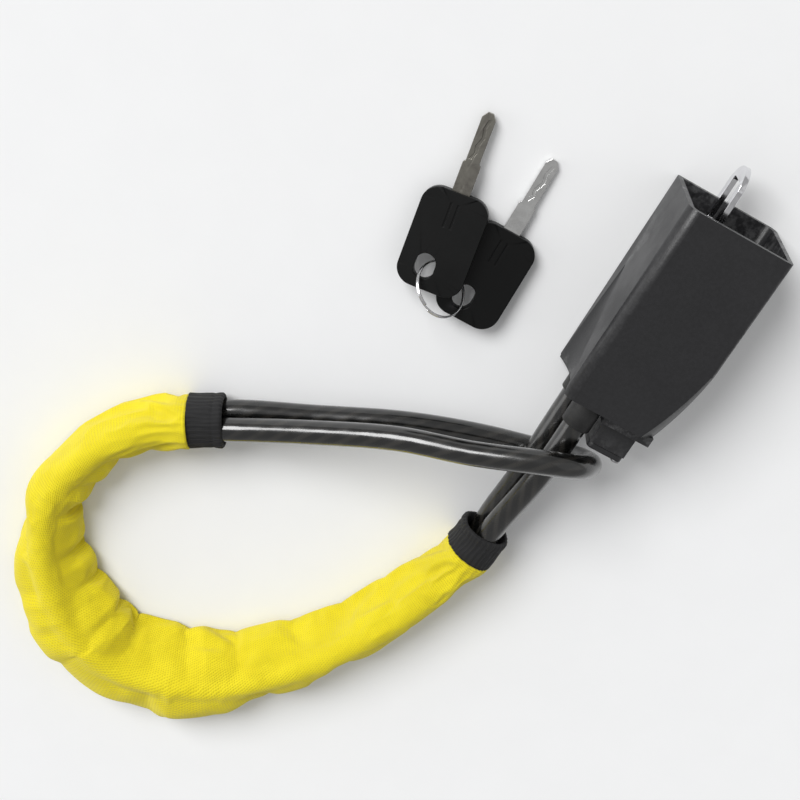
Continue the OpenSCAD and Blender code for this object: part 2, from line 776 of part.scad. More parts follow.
module sleeve() {
    m = len(sleeve_line);
    floor_gap = 0.1;
    // the ends taper into the cuffs
    share = [for (i = [0:m - 1]) min(1, min(i, m - 1 - i) / 2)];
    fill = [for (i = [0:m - 1]) let (j = max(0, min(last, (i - 1) / 2)), k = floor(j))
        slackness[k] + (slackness[min(k + 1, last)] - slackness[k]) * (j - k)];
    color([0.93, 0.88, 0.12])
    fabric_tube(sleeve_line, bore_r, bore_h,
        [for (f = fill) (sleeve_w + (sleeve_slack_w - sleeve_w) * f) / 2],
        [for (i = [0:m - 1]) floor_gap],
        [for (k = share) 28.2 + (sleeve_h - 28.2) * k]);
}

module cuff(p) {
    color([0.1, 0.1, 0.1])
    fabric_tube(p, cable_d / 2 + 2.1, bore_h - 2.1, [for (q = p) cuff_w / 2],
        [for (q = p) q[2] - cuff_h / 2],
        [for (q = p) q[2] + cuff_h / 2]);
}

module lower_cuff() {
    stretch = norm(low_loop[0] - lower_run[3]);
    cuff([for (k = [2:-1:0]) lower_lead(sleeve_start - cuff_gap - k * cuff_l / 2 / stretch)]);
}

module upper_cuff() {
    stretch = norm(low_loop[last] - noose[0]);
    cuff([for (k = [2:-1:0]) upper_lead(sleeve_stop - cuff_gap - k * cuff_l / 2 / stretch)]);
}

// ---------------------------------------------------------------- keys
// Split ring through both holes, standing over the ends of the grips
module key_ring() {
    chord = key_2_hole - key_1_hole;
    c = unit(chord);
    flat = unit(cross(c, [0, 0, 1]));
    e = cos(ring_tilt) * flat + sin(ring_tilt) * unit(cross(flat, c));
    r = ring_d / 2;
    centre = (key_1_hole + key_2_hole) / 2 - [0, 0, ring_sag] + e * sqrt(r * r - norm(chord) * norm(chord) / 4);
    steps = 40;
    circle_points = [for (i = [0:steps - 1]) let (a = 360 * i / steps)
        centre + r * (cos(a) * c + sin(a) * e)];
    color([0.75, 0.75, 0.76]) closed_ring(circle_points, centre, cross(c, e), ring_wire / 2, 8);
}

// Closed ring of round wire through points about a centre
module closed_ring(p, centre, axis, r, n) {
    m = len(p);
    polyhedron(
        points = [for (i = [0:m - 1]) let (s = unit(p[i] - centre))
            for (k = [0:n - 1]) p[i] + r * (cos(360 * k / n) * s + sin(360 * k / n) * axis)],
        faces = concat(
            [for (i = [0:m - 1]) for (k = [0:n - 1]) let (a = (i + 1) % m, j = (k + 1) % n)
                [i * n + k, a * n + j, a * n + k]],
            [for (i = [0:m - 1]) for (k = [0:n - 1]) let (a = (i + 1) % m, j = (k + 1) % n)
                [i * n + k, i * n + j, a * n + j]]
        )
    );
}

module lay_key(hole, lie) {
    translate(hole) rotate([0, 0, lie[2]]) rotate([lie[0], 0, 0]) rotate([0, lie[1], 0]) children();
}

// Grip round its ring hole: the blade leaves it towards +Y
module grip() {
    r = 8;
    x0 = -hole_to_side;
    y0 = -hole_to_end;
    x1 = x0 + grip_w;
    y1 = y0 + grip_l;
    axis_x = x0 + grip_w / 2;
    difference() {
        union() {
            box([x0 + r, y0, -grip_t / 2], [x1 - r, y1, grip_t / 2]);
            box([x0, y0 + r, -grip_t / 2], [x1, y1 - r, grip_t / 2]);
            for (x = [x0 + r, x1 - r]) for (y = [y0 + r, y1 - r]) {
                translate([x, y, -grip_t / 2]) cylinder(r = r, h = grip_t);
            }
        }
        // ring slot
        for (s = [-1, 1]) {
            translate([0, s * (slot_l - slot_w) / 2, -grip_t]) cylinder(d = slot_w, h = 2 * grip_t);
        }
        box([-slot_w / 2, -(slot_l - slot_w) / 2, -grip_t], [slot_w / 2, (slot_l - slot_w) / 2, grip_t]);
        // two grooves on each face
        for (x = [axis_x - 2.4, axis_x + 0.8]) for (z = [-grip_t / 2 - 1, grip_t / 2 - 0.4]) {
            box([x, y1 - 16, z], [x + 0.8, y1 - 5, z + 1.4]);
        }
        // pocket for the blade
        box([axis_x - blade_w / 2 - fit, y1 - blade_root - fit, -blade_t / 2 - fit],
            [axis_x + blade_w / 2 + fit, y1 + eps, blade_t / 2 + fit]);
    }
}

// Flat blade with a stepped tip and a milled track on each face
module blade() {
    axis_x = grip_w / 2 - hole_to_side;
    y0 = grip_l - hole_to_end;
    tip = blade_l;
    w = blade_w / 2;
    n = w - 1;
    track = [[-1.6, 15], [0, 18], [-0.6, 21], [0.9, 25], [0.1, 29], [1, 33]];
    translate([axis_x, y0, -blade_t / 2])
    difference() {
        linear_extrude(height = blade_t)
            polygon([
                [-w, -blade_root], [w, -blade_root], [w, 13], [n, 14], [n, tip - 2.5],
                [n - 1.8, tip], [1.8 - n, tip], [-n, tip - 2.5], [-n, 14], [-w, 13]
            ]);
        for (z = [-1, blade_t - 0.4]) translate([0, 0, z]) linear_extrude(height = 1.4)
            polygon(concat(
                [for (i = [0:len(track) - 1]) track[i] + [0.7, 0]],
                [for (i = [len(track) - 1:-1:0]) track[i] - [0.7, 0]]
            ));
    }
}

module key_1_blade() {
    color([0.45, 0.43, 0.4]) lay_key(key_1_hole, key_1_lie) blade();
}

module key_1_grip() {
    color([0.08, 0.08, 0.08]) lay_key(key_1_hole, key_1_lie) grip();
}

module key_2_blade() {
    color([0.8, 0.8, 0.8]) lay_key(key_2_hole, key_2_lie) blade();
}

module key_2_grip() {
    color([0.08, 0.08, 0.08]) lay_key(key_2_hole, key_2_lie) grip();
}

back_shell();
front_shell();
end_cap();
shell_screws();
end_cap_screws();
lower_gland();
upper_gland();
cable();
lower_rope_end();
upper_rope_end();
lower_crimp();
upper_crimp();
anchor_bracket();
tongue();
tongue_rivets();
lock_barrel();
barrel_grub_screw();
lock_plug();
cam();
cam_screw();
release_slider();
return_spring();
dust_cover();
dust_cover_pin();
sleeve();
lower_cuff();
upper_cuff();
key_ring();
key_1_blade();
key_1_grip();
key_2_blade();
key_2_grip();
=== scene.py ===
"""Cable steering wheel lock: finishes, cloth, cable, keys and studio stage round the packed frame."""

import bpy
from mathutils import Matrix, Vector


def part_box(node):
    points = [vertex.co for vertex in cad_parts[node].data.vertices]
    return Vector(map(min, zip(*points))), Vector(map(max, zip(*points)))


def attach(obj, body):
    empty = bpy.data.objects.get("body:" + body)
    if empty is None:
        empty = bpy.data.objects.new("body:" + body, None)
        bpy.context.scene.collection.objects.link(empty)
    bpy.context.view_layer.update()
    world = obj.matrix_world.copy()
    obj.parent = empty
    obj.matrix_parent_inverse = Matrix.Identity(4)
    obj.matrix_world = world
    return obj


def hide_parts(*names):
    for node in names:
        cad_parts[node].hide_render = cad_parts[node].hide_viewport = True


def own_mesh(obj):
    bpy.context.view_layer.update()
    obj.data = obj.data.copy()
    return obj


bl_info = {
    "name": "Steering Wheel Cable Lock",
    "version": (1, 0, 0),
    "blender": (4, 5, 0),
    "location": "3D View > Sidebar > Cable Lock",
    "description": "Builds the sleeve, cable, keys and finishes of a cable steering wheel lock",
    "category": "Object",
}

import math

import bpy
from bpy.props import BoolProperty, FloatProperty, FloatVectorProperty, IntProperty, PointerProperty
from mathutils import Matrix, Vector, noise

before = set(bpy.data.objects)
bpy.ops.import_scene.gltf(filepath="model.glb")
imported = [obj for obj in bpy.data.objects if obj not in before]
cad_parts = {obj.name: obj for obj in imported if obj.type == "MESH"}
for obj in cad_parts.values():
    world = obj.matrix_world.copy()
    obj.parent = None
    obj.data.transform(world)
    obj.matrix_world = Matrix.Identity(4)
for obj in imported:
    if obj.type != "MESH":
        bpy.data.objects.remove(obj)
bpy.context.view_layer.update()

MM = 0.001

# Plan of the loop that both cable runs follow inside the sleeve, in millimetres
LOOP = [
    (-14, -152), (-25.5, -194), (-51.5, -240), (-89, -275.5), (-135.5, -286),
    (-173, -262), (-192.5, -224), (-186, -188), (-166.5, -162.5),
]
# How far the sleeve is filled out at each point of the loop, 0 tight to 1 slack
SLACKNESS = [0, 0.2, 0.6, 1, 0.95, 0.75, 0.12, 0.05, 0]
# Heights of the two runs in the sleeve, and the rest of the route from gland to gland, in millimetres
RUN_LOW, RUN_HIGH = 7.5, 19
LOWER_RUN = [(-14, -46, 17), (-14, -66, 17), (-14, -92, 17.6), (-13.5, -122, 11)]
NOOSE = [
    (-140, -143.5, 7), (-105, -127, 5.6), (-71, -110.5, 5.6), (-40, -99, 5.6), (-11, -91, 5.6),
    (3, -84, 11.5), (7, -77.5, 26), (-0.5, -75, 40.5), (-15.5, -78, 46.5),
    (-45, -91.5, 43.5), (-75, -104.5, 37), (-107, -125, 27.5), (-138, -146, 19.4),
]
UPPER_RUN = [(-12, -122, 24), (-10.5, -92, 30.6), (-10, -66, 31), (-10, -46, 31)]
# Ends of the sleeve and the gap to each cuff, as shares of the stretches that lead into the loop
SLEEVE_START, SLEEVE_STOP, CUFF_GAP = 0.88, 0.52, 0.06
CUFF_LENGTH = 13
CUFF_HEIGHT = 0.0262
# Ring holes of the keys, and how far the ring hangs below them, in millimetres
KEY_1_HOLE = (-99, -38, 9.4)
KEY_2_HOLE = (-77, -43, 5.6)
RING_SAG = 0.6
# Clearance of the cloth over the table, in metres
TABLE_GAP = 0.0003
SLEEVE_SIDES = 56
# The cloth settles in a model this much larger, where contact distances in millimetres hold
SIMULATION_SCALE = 10.0
CLOTH = {
    "quality": 6, "mass": 0.25, "tension_stiffness": 60, "compression_stiffness": 60,
    "shear_stiffness": 30, "tension_damping": 15, "compression_damping": 15,
    "bending_damping": 1.0, "air_damping": 4,
}
CONTACT = {"collision_quality": 2, "distance_min": 0.008, "self_distance_min": 0.012}


# ---------------------------------------------------------------- paths
def spline_point(a, b, c, d, t):
    """Point at share t between b and c of a smooth spline through a, b, c and d."""
    return 0.5 * (2 * b + (c - a) * t + (2 * a - 5 * b + 4 * c - d) * t * t
                  + (3 * b - a - 3 * c + d) * t ** 3)


def smooth_path(points, steps):
    """The points joined by a smooth spline, with so many steps between each two."""
    pts = [Vector(p) for p in points]
    before = 2 * pts[0] - pts[1]
    after = 2 * pts[-1] - pts[-2]
    whole = [before, *pts, after]
    path = [
        spline_point(*whole[i:i + 4], k / steps)
        for i in range(len(pts) - 1)
        for k in range(steps)
    ]
    path.append(pts[-1])
    return path


def path_lengths(path):
    """Distance of each point from the start, along the path."""
    lengths = [0.0]
    for a, b in zip(path, path[1:]):
        lengths.append(lengths[-1] + (b - a).length)
    return lengths


def tangent(path, i):
    """Direction of the path at point i."""
    return (path[min(i + 1, len(path) - 1)] - path[max(i - 1, 0)]).normalized()


def value_along(values, share):
    """Smoothly varying value at a share, 0 to 1, of a list of values."""
    place = min(max(share, 0.0), 1.0) * (len(values) - 1)
    i = min(int(place), len(values) - 2)
    t = place - i
    t = t * t * (3 - 2 * t)
    return values[i] * (1 - t) + values[i + 1] * t


# ---------------------------------------------------------------- meshes
def mesh_object(name, verts, faces, uvs=None, smooth=True):
    """A new object from vertices, faces and, for each face corner, its cloth or jacket coordinates."""
    mesh = bpy.data.meshes.new(name)
    mesh.from_pydata([tuple(v) for v in verts], [], faces)
    if uvs:
        layer = mesh.uv_layers.new(name="surface")
        for loop_uv, uv in zip(layer.data, uvs):
            loop_uv.uv = uv
    mesh.polygons.foreach_set("use_smooth", [smooth] * len(mesh.polygons))
    mesh.update()
    obj = bpy.data.objects.new(name, mesh)
    bpy.context.scene.collection.objects.link(obj)
    return obj


def loft(name, rings, around, along, closed=False, caps=False):
    """Skins rings of points; around and along give each point's surface coordinates."""
    count = len(rings[0])
    verts = [p for ring in rings for p in ring]
    faces, uvs = [], []
    last = len(rings) if closed else len(rings) - 1
    for i in range(last):
        j = (i + 1) % len(rings)
        for k in range(count):
            m = (k + 1) % count
            faces.append((i * count + k, i * count + m, j * count + m, j * count + k))
            u0, u1 = around[k], around[k + 1]
            v0, v1 = along[i], along[i + 1]
            uvs += [(u0, v0), (u1, v0), (u1, v1), (u0, v1)]
    if caps:
        for base, order in ((0, range(count - 1, -1, -1)), ((len(rings) - 1) * count, range(count))):
            face = tuple(base + k for k in order)
            faces.append(face)
            uvs += [(0.0, 0.0)] * count
    return mesh_object(name, verts, faces, uvs)


def round_tube(name, path, radius, sides, caps=True):
    """A round tube along a path, with coordinates in turns around and in turns along."""
    lengths = path_lengths(path)
    side = Vector((1, 0, 0))
    rings = []
    for i, p in enumerate(path):
        t = tangent(path, i)
        side = (side - side.dot(t) * t).normalized()
        up = t.cross(side)
        rings.append([
            p + radius * (math.cos(a) * side + math.sin(a) * up)
            for a in (2 * math.pi * k / sides for k in range(sides))
        ])
    around = [k / sides for k in range(sides + 1)]
    along = [s / (2 * math.pi * radius) for s in lengths]
    return loft(name, rings, around, along, caps=caps)


# ---------------------------------------------------------------- node helpers
def add_node(tree, kind, settings=None, feed=None):
    """A node with its settings, its inputs fed by sockets or set to values."""
    node = tree.nodes.new(kind)
    for key, value in (settings or {}).items():
        setattr(node, key, value)
    for key, value in (feed or {}).items():
        socket = node.inputs[key]
        if isinstance(value, bpy.types.NodeSocket):
            tree.links.new(value, socket)
        else:
            socket.default_value = value
    return node


def maths(tree, operation, a, b=0.0, c=0.0):
    """Output of a Math node."""
    node = add_node(tree, "ShaderNodeMath", {"operation": operation}, {0: a, 1: b, 2: c})
    return node.outputs[0]


def ramp(tree, value, low, high, out_low=0.0, out_high=1.0):
    """Value mapped from low..high to out_low..out_high, clamped."""
    node = add_node(tree, "ShaderNodeMapRange", {"interpolation_type": "SMOOTHSTEP"}, {
        "Value": value, "From Min": low, "From Max": high, "To Min": out_low, "To Max": out_high,
    })
    return node.outputs["Result"]


def blend_colours(tree, share, a, b):
    """Colour between a and b."""
    node = add_node(tree, "ShaderNodeMix", {"data_type": "RGBA"}, {0: share, 6: a, 7: b})
    return node.outputs[2]


def new_group(name, inputs, outputs):
    """An empty shader group with named sockets, with its input and output nodes."""
    tree = bpy.data.node_groups.new(name, "ShaderNodeTree")
    for label, kind, value in inputs:
        socket = tree.interface.new_socket(name=label, in_out="INPUT", socket_type=kind)
        if value is not None:
            socket.default_value = value
    for label, kind in outputs:
        tree.interface.new_socket(name=label, in_out="OUTPUT", socket_type=kind)
    return tree, tree.nodes.new("NodeGroupInput"), tree.nodes.new("NodeGroupOutput")


def place_group(tree, build, feed):
    """A copy of a shared group in a material."""
    return add_node(tree, "ShaderNodeGroup", {"node_tree": build()}, feed)


def shared(build):
    """Builds a shader group once and returns the same one after that."""
    made = []

    def get():
        if not made:
            made.append(build())
        return made[0]

    return get


FLOAT, COLOUR, VECTOR = "NodeSocketFloat", "NodeSocketColor", "NodeSocketVector"


@shared
def moulded_grain():
    """Spark-eroded mould texture: fine pits and slow changes of sheen."""
    tree, inp, out = new_group(
        "moulded_grain",
        [("Vector", VECTOR, None), ("Scale", FLOAT, 1600.0)],
        [("Height", FLOAT), ("Sheen", FLOAT), ("Tone", FLOAT)],
    )
    fine = add_node(tree, "ShaderNodeTexVoronoi", {"feature": "SMOOTH_F1"}, {
        "Vector": inp.outputs["Vector"], "Scale": inp.outputs["Scale"], "Smoothness": 0.6,
    })
    mid = add_node(tree, "ShaderNodeTexNoise", None, {
        "Vector": inp.outputs["Vector"], "Scale": maths(tree, "MULTIPLY", inp.outputs["Scale"], 0.45),
        "Detail": 3.0, "Roughness": 0.6,
    })
    slow = add_node(tree, "ShaderNodeTexNoise", None, {
        "Vector": inp.outputs["Vector"], "Scale": 38.0, "Detail": 4.0, "Roughness": 0.55,
    })
    height = maths(tree, "MULTIPLY_ADD", fine.outputs["Distance"], 0.6,
                   maths(tree, "MULTIPLY", mid.outputs["Fac"], 0.7))
    tree.links.new(height, out.inputs["Height"])
    tree.links.new(ramp(tree, slow.outputs["Fac"], 0.3, 0.7), out.inputs["Sheen"])
    tree.links.new(ramp(tree, mid.outputs["Fac"], 0.3, 0.75), out.inputs["Tone"])
    return tree


@shared
def edge_wear():
    """Mask of the rubbed outer edges, broken up by noise."""
    tree, inp, out = new_group(
        "edge_wear",
        [("Vector", VECTOR, None), ("Start", FLOAT, 0.53), ("Full", FLOAT, 0.6)],
        [("Mask", FLOAT)],
    )
    geometry = add_node(tree, "ShaderNodeNewGeometry")
    patches = add_node(tree, "ShaderNodeTexNoise", None, {
        "Vector": inp.outputs["Vector"], "Scale": 260.0, "Detail": 4.0, "Roughness": 0.7,
    })
    edge = ramp(tree, geometry.outputs["Pointiness"], inp.outputs["Start"], inp.outputs["Full"])
    broken = ramp(tree, patches.outputs["Fac"], 0.4, 0.62)
    tree.links.new(maths(tree, "MULTIPLY", edge, broken), out.inputs["Mask"])
    return tree


@shared
def handling_marks():
    """Fine scratches and smudges on bare or plated metal."""
    tree, inp, out = new_group(
        "handling_marks",
        [("Vector", VECTOR, None), ("Density", FLOAT, 1.0)],
        [("Height", FLOAT), ("Smudge", FLOAT)],
    )
    lines = []
    for turn, scale in ((0.35, 520.0), (-0.8, 700.0)):
        mapping = add_node(tree, "ShaderNodeMapping", None, {
            "Vector": inp.outputs["Vector"], "Rotation": (turn, turn * 0.7, turn), "Scale": (1.0, 0.03, 1.0),
        })
        hair = add_node(tree, "ShaderNodeTexNoise", None, {
            "Vector": mapping.outputs[0], "Scale": maths(tree, "MULTIPLY", inp.outputs["Density"], scale),
            "Detail": 2.0, "Roughness": 0.5,
        })
        lines.append(ramp(tree, hair.outputs["Fac"], 0.6, 0.72))
    smudge = add_node(tree, "ShaderNodeTexNoise", None, {
        "Vector": inp.outputs["Vector"], "Scale": 90.0, "Detail": 5.0, "Roughness": 0.6, "Distortion": 0.8,
    })
    tree.links.new(maths(tree, "MAXIMUM", lines[0], lines[1]), out.inputs["Height"])
    tree.links.new(ramp(tree, smudge.outputs["Fac"], 0.35, 0.7), out.inputs["Smudge"])
    return tree


@shared
def twill_weave():
    """Diagonal twill: crossing threads in cloth coordinates, one unit to a millimetre."""
    tree, inp, out = new_group(
        "twill_weave",
        [("Vector", VECTOR, None), ("Threads", FLOAT, 1.6), ("Slant", FLOAT, 0.5)],
        [("Height", FLOAT), ("Gap", FLOAT), ("Tone", FLOAT)],
    )
    wander = add_node(tree, "ShaderNodeTexNoise", None, {
        "Vector": inp.outputs["Vector"], "Scale": 0.35, "Detail": 2.0, "Roughness": 0.5,
    })
    split = add_node(tree, "ShaderNodeSeparateXYZ", None, {0: inp.outputs["Vector"]})
    bend = maths(tree, "MULTIPLY", wander.outputs["Fac"], 0.9)
    u = maths(tree, "MULTIPLY", maths(tree, "ADD", split.outputs["X"], bend), inp.outputs["Threads"])
    v = maths(tree, "MULTIPLY", maths(tree, "ADD", split.outputs["Y"], bend), inp.outputs["Threads"])
    tau = 2 * math.pi
    slant = maths(tree, "MULTIPLY_ADD", v, inp.outputs["Slant"], u)
    rib = maths(tree, "SINE", maths(tree, "MULTIPLY", slant, tau))
    cross = maths(tree, "SINE", maths(tree, "MULTIPLY", v, tau))
    thread = maths(tree, "MULTIPLY_ADD", maths(tree, "MULTIPLY", rib, cross), 0.5, 0.5)
    ribs = maths(tree, "MULTIPLY_ADD", rib, 0.5, 0.5)
    height = maths(tree, "MULTIPLY_ADD", thread, 0.45, maths(tree, "MULTIPLY", ribs, 0.55))
    tone = add_node(tree, "ShaderNodeTexNoise", None, {
        "Vector": inp.outputs["Vector"], "Scale": 0.055, "Detail": 5.0, "Roughness": 0.6,
    })
    tree.links.new(height, out.inputs["Height"])
    # Gap marks the low places between the threads, where the cloth is darkened with painted shade
    tree.links.new(ramp(tree, height, 0.45, 0.1), out.inputs["Gap"])
    tree.links.new(ramp(tree, tone.outputs["Fac"], 0.3, 0.7), out.inputs["Tone"])
    return tree


def new_material(name):
    """A node material with only its Principled shader, and the tree and shader."""
    material = bpy.data.materials.new(name)
    material.use_nodes = True
    tree = material.node_tree
    shader = next(n for n in tree.nodes if n.type == "BSDF_PRINCIPLED")
    return material, tree, shader


def object_coordinates(tree):
    """Coordinates fixed to the piece, in metres."""
    return add_node(tree, "ShaderNodeTexCoord").outputs["Object"]


def bump(tree, shader, height, depth, strength=1.0):
    """Feeds a height, in units of depth metres, to the shader's normal."""
    node = add_node(tree, "ShaderNodeBump", None, {
        "Height": height, "Distance": depth, "Strength": strength,
    })
    tree.links.new(node.outputs["Normal"], shader.inputs["Normal"])
    return node


# ---------------------------------------------------------------- finishes
def moulded_plastic(
        name, colour, rubbed, roughness, grain_scale, grain_depth, spread=0.12, coat=0.0, gloss=0.5):
    """Textured or smooth moulding with rubbed edges."""
    material, tree, shader = new_material(name)
    at = object_coordinates(tree)
    grain = place_group(tree, moulded_grain, {"Vector": at, "Scale": grain_scale})
    wear = place_group(tree, edge_wear, {"Vector": at})
    dark = (*[c * 0.72 for c in colour], 1)
    base = blend_colours(tree, grain.outputs["Tone"], dark, (*colour, 1))
    worn = blend_colours(tree, maths(tree, "MULTIPLY", wear.outputs["Mask"], 0.6), base, (*rubbed, 1))
    tree.links.new(worn, shader.inputs["Base Color"])
    rough = maths(tree, "MULTIPLY_ADD", grain.outputs["Sheen"], spread, roughness - spread / 2)
    rough = maths(tree, "MULTIPLY_ADD", wear.outputs["Mask"], -0.12, rough)
    tree.links.new(rough, shader.inputs["Roughness"])
    shader.inputs["Specular IOR Level"].default_value = gloss
    shader.inputs["Coat Weight"].default_value = coat
    shader.inputs["Coat Roughness"].default_value = 0.2
    bump(tree, shader, grain.outputs["Height"], grain_depth)
    return material


def plated_metal(name, colour, roughness, scratch_depth, tarnish=None):
    """Plated or polished metal with hair scratches, smudges and, if given, tarnish."""
    material, tree, shader = new_material(name)
    at = object_coordinates(tree)
    marks = place_group(tree, handling_marks, {"Vector": at, "Density": 1.0})
    wear = place_group(tree, edge_wear, {"Vector": at, "Start": 0.52, "Full": 0.62})
    dull = (*(tarnish or [c * 0.8 for c in colour]), 1)
    base = blend_colours(tree, marks.outputs["Smudge"], (*colour, 1), dull)
    bright = (*[min(1.0, c * 1.15) for c in colour], 1)
    tree.links.new(blend_colours(tree, wear.outputs["Mask"], base, bright), shader.inputs["Base Color"])
    rough = maths(tree, "MULTIPLY_ADD", marks.outputs["Smudge"], 0.1, roughness)
    rough = maths(tree, "MULTIPLY_ADD", marks.outputs["Height"], 0.08, rough)
    tree.links.new(rough, shader.inputs["Roughness"])
    shader.inputs["Metallic"].default_value = 1.0
    bump(tree, shader, marks.outputs["Height"], -scratch_depth)
    return material


def stranded_wire(name, colour, axis_scale):
    """Lay of a wire rope or drawn spring: slanting grooves, darkened with painted shade between the wires."""
    material, tree, shader = new_material(name)
    at = object_coordinates(tree)
    marks = place_group(tree, handling_marks, {"Vector": at, "Density": 1.4})
    slant = add_node(tree, "ShaderNodeMapping", None, {
        "Vector": at, "Rotation": (0.0, 0.35, 0.6), "Scale": (1.0, 1.0, 1.0),
    })
    wires = add_node(tree, "ShaderNodeTexWave", {"wave_type": "BANDS", "bands_direction": "Y"}, {
        "Vector": slant.outputs[0], "Scale": axis_scale, "Distortion": 0.6, "Detail": 1.0,
    })
    groove = ramp(tree, wires.outputs["Fac"], 0.0, 0.4)
    # painted shade: the grooves between the wires are darkened to a quarter of the metal's colour
    groove_shade = (*[c * 0.25 for c in colour], 1)
    tree.links.new(blend_colours(tree, groove, groove_shade, (*colour, 1)), shader.inputs["Base Color"])
    rough = maths(tree, "MULTIPLY_ADD", marks.outputs["Smudge"], 0.15, 0.28)
    tree.links.new(rough, shader.inputs["Roughness"])
    shader.inputs["Metallic"].default_value = 1.0
    bump(tree, shader, wires.outputs["Fac"], 0.0003)
    return material


def smoky_jacket(colour, strand_colour, lay):
    """Glossy smoky vinyl over twisted strands that show through it as slanting streaks, with painted glints
    along their wires.
    """
    material, tree, shader = new_material("smoky_jacket")
    uv = add_node(tree, "ShaderNodeUVMap", {"uv_map": "surface"}).outputs["UV"]
    at = object_coordinates(tree)
    split = add_node(tree, "ShaderNodeSeparateXYZ", None, {0: uv})
    turns = maths(tree, "MULTIPLY_ADD", split.outputs["Y"], lay, split.outputs["X"])
    tau = 2 * math.pi
    strand = maths(tree, "SINE", maths(tree, "MULTIPLY", turns, 6 * tau))
    strand = maths(tree, "MULTIPLY_ADD", strand, 0.5, 0.5)
    back = maths(tree, "MULTIPLY_ADD", split.outputs["Y"], -lay * 1.5, split.outputs["X"])
    wire = maths(tree, "MULTIPLY_ADD", maths(tree, "SINE", maths(tree, "MULTIPLY", back, 30 * tau)), 0.5, 0.5)
    cloud = add_node(tree, "ShaderNodeTexNoise", None, {
        "Vector": at, "Scale": 70.0, "Detail": 4.0, "Roughness": 0.6, "Distortion": 0.4,
    })
    # painted highlight: fine wire bands brighten the strands seen through the jacket like glints; the strand
    # streaks under them are the strands' own pattern
    painted_wire_glints = maths(tree, "MULTIPLY_ADD", wire, 0.5, 0.5)
    seen = maths(tree, "MULTIPLY", ramp(tree, strand, 0.35, 0.95), painted_wire_glints)
    seen = maths(tree, "MULTIPLY", seen, ramp(tree, cloud.outputs["Fac"], 0.3, 0.65, 0.35, 1.0))
    tree.links.new(blend_colours(tree, seen, (*colour, 1), (*strand_colour, 1)), shader.inputs["Base Color"])
    tree.links.new(ramp(tree, cloud.outputs["Fac"], 0.3, 0.7, 0.18, 0.32), shader.inputs["Roughness"])
    shader.inputs["Coat Weight"].default_value = 0.8
    shader.inputs["Coat Roughness"].default_value = 0.1
    shader.inputs["Coat IOR"].default_value = 1.5
    ripple = maths(tree, "MULTIPLY_ADD", strand, 0.5, maths(tree, "MULTIPLY", cloud.outputs["Fac"], 0.8))
    bump(tree, shader, ripple, 0.00008)
    return material


def twill_cloth(colour, shade, threads):
    """Bright twill cloth: threads, gaps darkened with painted shade, slow tone changes toward that shade
    colour and loose fuzz.
    """
    material, tree, shader = new_material("sleeve_twill")
    uv = add_node(tree, "ShaderNodeUVMap", {"uv_map": "surface"}).outputs["UV"]
    weave = place_group(tree, twill_weave, {"Vector": uv, "Threads": threads, "Slant": 0.5})
    at = object_coordinates(tree)
    fuzz = add_node(tree, "ShaderNodeTexNoise", None, {
        "Vector": at, "Scale": 1900.0, "Detail": 3.0, "Roughness": 0.7,
    })
    light = (*colour, 1)
    # painted shade: a shaded copy of the cloth colour, mixed in strongly between the threads and faintly in
    # slow random tone patches
    painted_shade_and_tone = (*shade, 1)
    toned = blend_colours(tree, maths(tree, "MULTIPLY", weave.outputs["Tone"], 0.22), light, painted_shade_and_tone)
    gaps = maths(tree, "MULTIPLY", weave.outputs["Gap"], 0.55)
    base = blend_colours(tree, gaps, toned, painted_shade_and_tone)
    tree.links.new(base, shader.inputs["Base Color"])
    tree.links.new(maths(tree, "MULTIPLY_ADD", weave.outputs["Tone"], 0.12, 0.68), shader.inputs["Roughness"])
    shader.inputs["Specular IOR Level"].default_value = 0.25
    shader.inputs["Sheen Weight"].default_value = 0.25
    shader.inputs["Sheen Roughness"].default_value = 0.5
    shader.inputs["Sheen Tint"].default_value = (1.0, 0.95, 0.5, 1)
    height = maths(tree, "MULTIPLY_ADD", fuzz.outputs["Fac"], 0.35, weave.outputs["Height"])
    bump(tree, shader, height, 0.0003)
    return material


def ribbed_elastic(colour):
    """Black covered elastic: fine cross weave over the gathers, with painted light on its raised threads and
    painted shade between them.
    """
    material, tree, shader = new_material("cuff_elastic")
    uv = add_node(tree, "ShaderNodeUVMap", {"uv_map": "surface"}).outputs["UV"]
    weave = place_group(tree, twill_weave, {"Vector": uv, "Threads": 1.3, "Slant": 0.0})
    # painted light and shade: the elastic is lighter where its threads stand up and darker in the gaps
    # between them
    pale = (*[c * 2.4 for c in colour], 1)
    base = blend_colours(tree, maths(tree, "MULTIPLY", weave.outputs["Height"], 0.6), (*colour, 1), pale)
    tree.links.new(base, shader.inputs["Base Color"])
    tree.links.new(maths(tree, "MULTIPLY_ADD", weave.outputs["Tone"], 0.15, 0.72), shader.inputs["Roughness"])
    shader.inputs["Sheen Weight"].default_value = 0.04
    shader.inputs["Sheen Roughness"].default_value = 0.4
    bump(tree, shader, weave.outputs["Height"], 0.0002)
    return material


def dress(node_name, material, edge=0.0, segments=2, angle=35.0):
    """Gives a carried-over node its finish and, if asked, softened edges."""
    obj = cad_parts[node_name]
    obj.data.materials.clear()
    obj.data.materials.append(material)
    if edge:
        weld = obj.modifiers.new("join_faces", "WELD")
        weld.merge_threshold = 2e-6
        bevel = obj.modifiers.new("soft_edges", "BEVEL")
        bevel.width = edge
        bevel.segments = segments
        bevel.limit_method = "ANGLE"
        bevel.angle_limit = math.radians(angle)
        bevel.harden_normals = True
    return obj


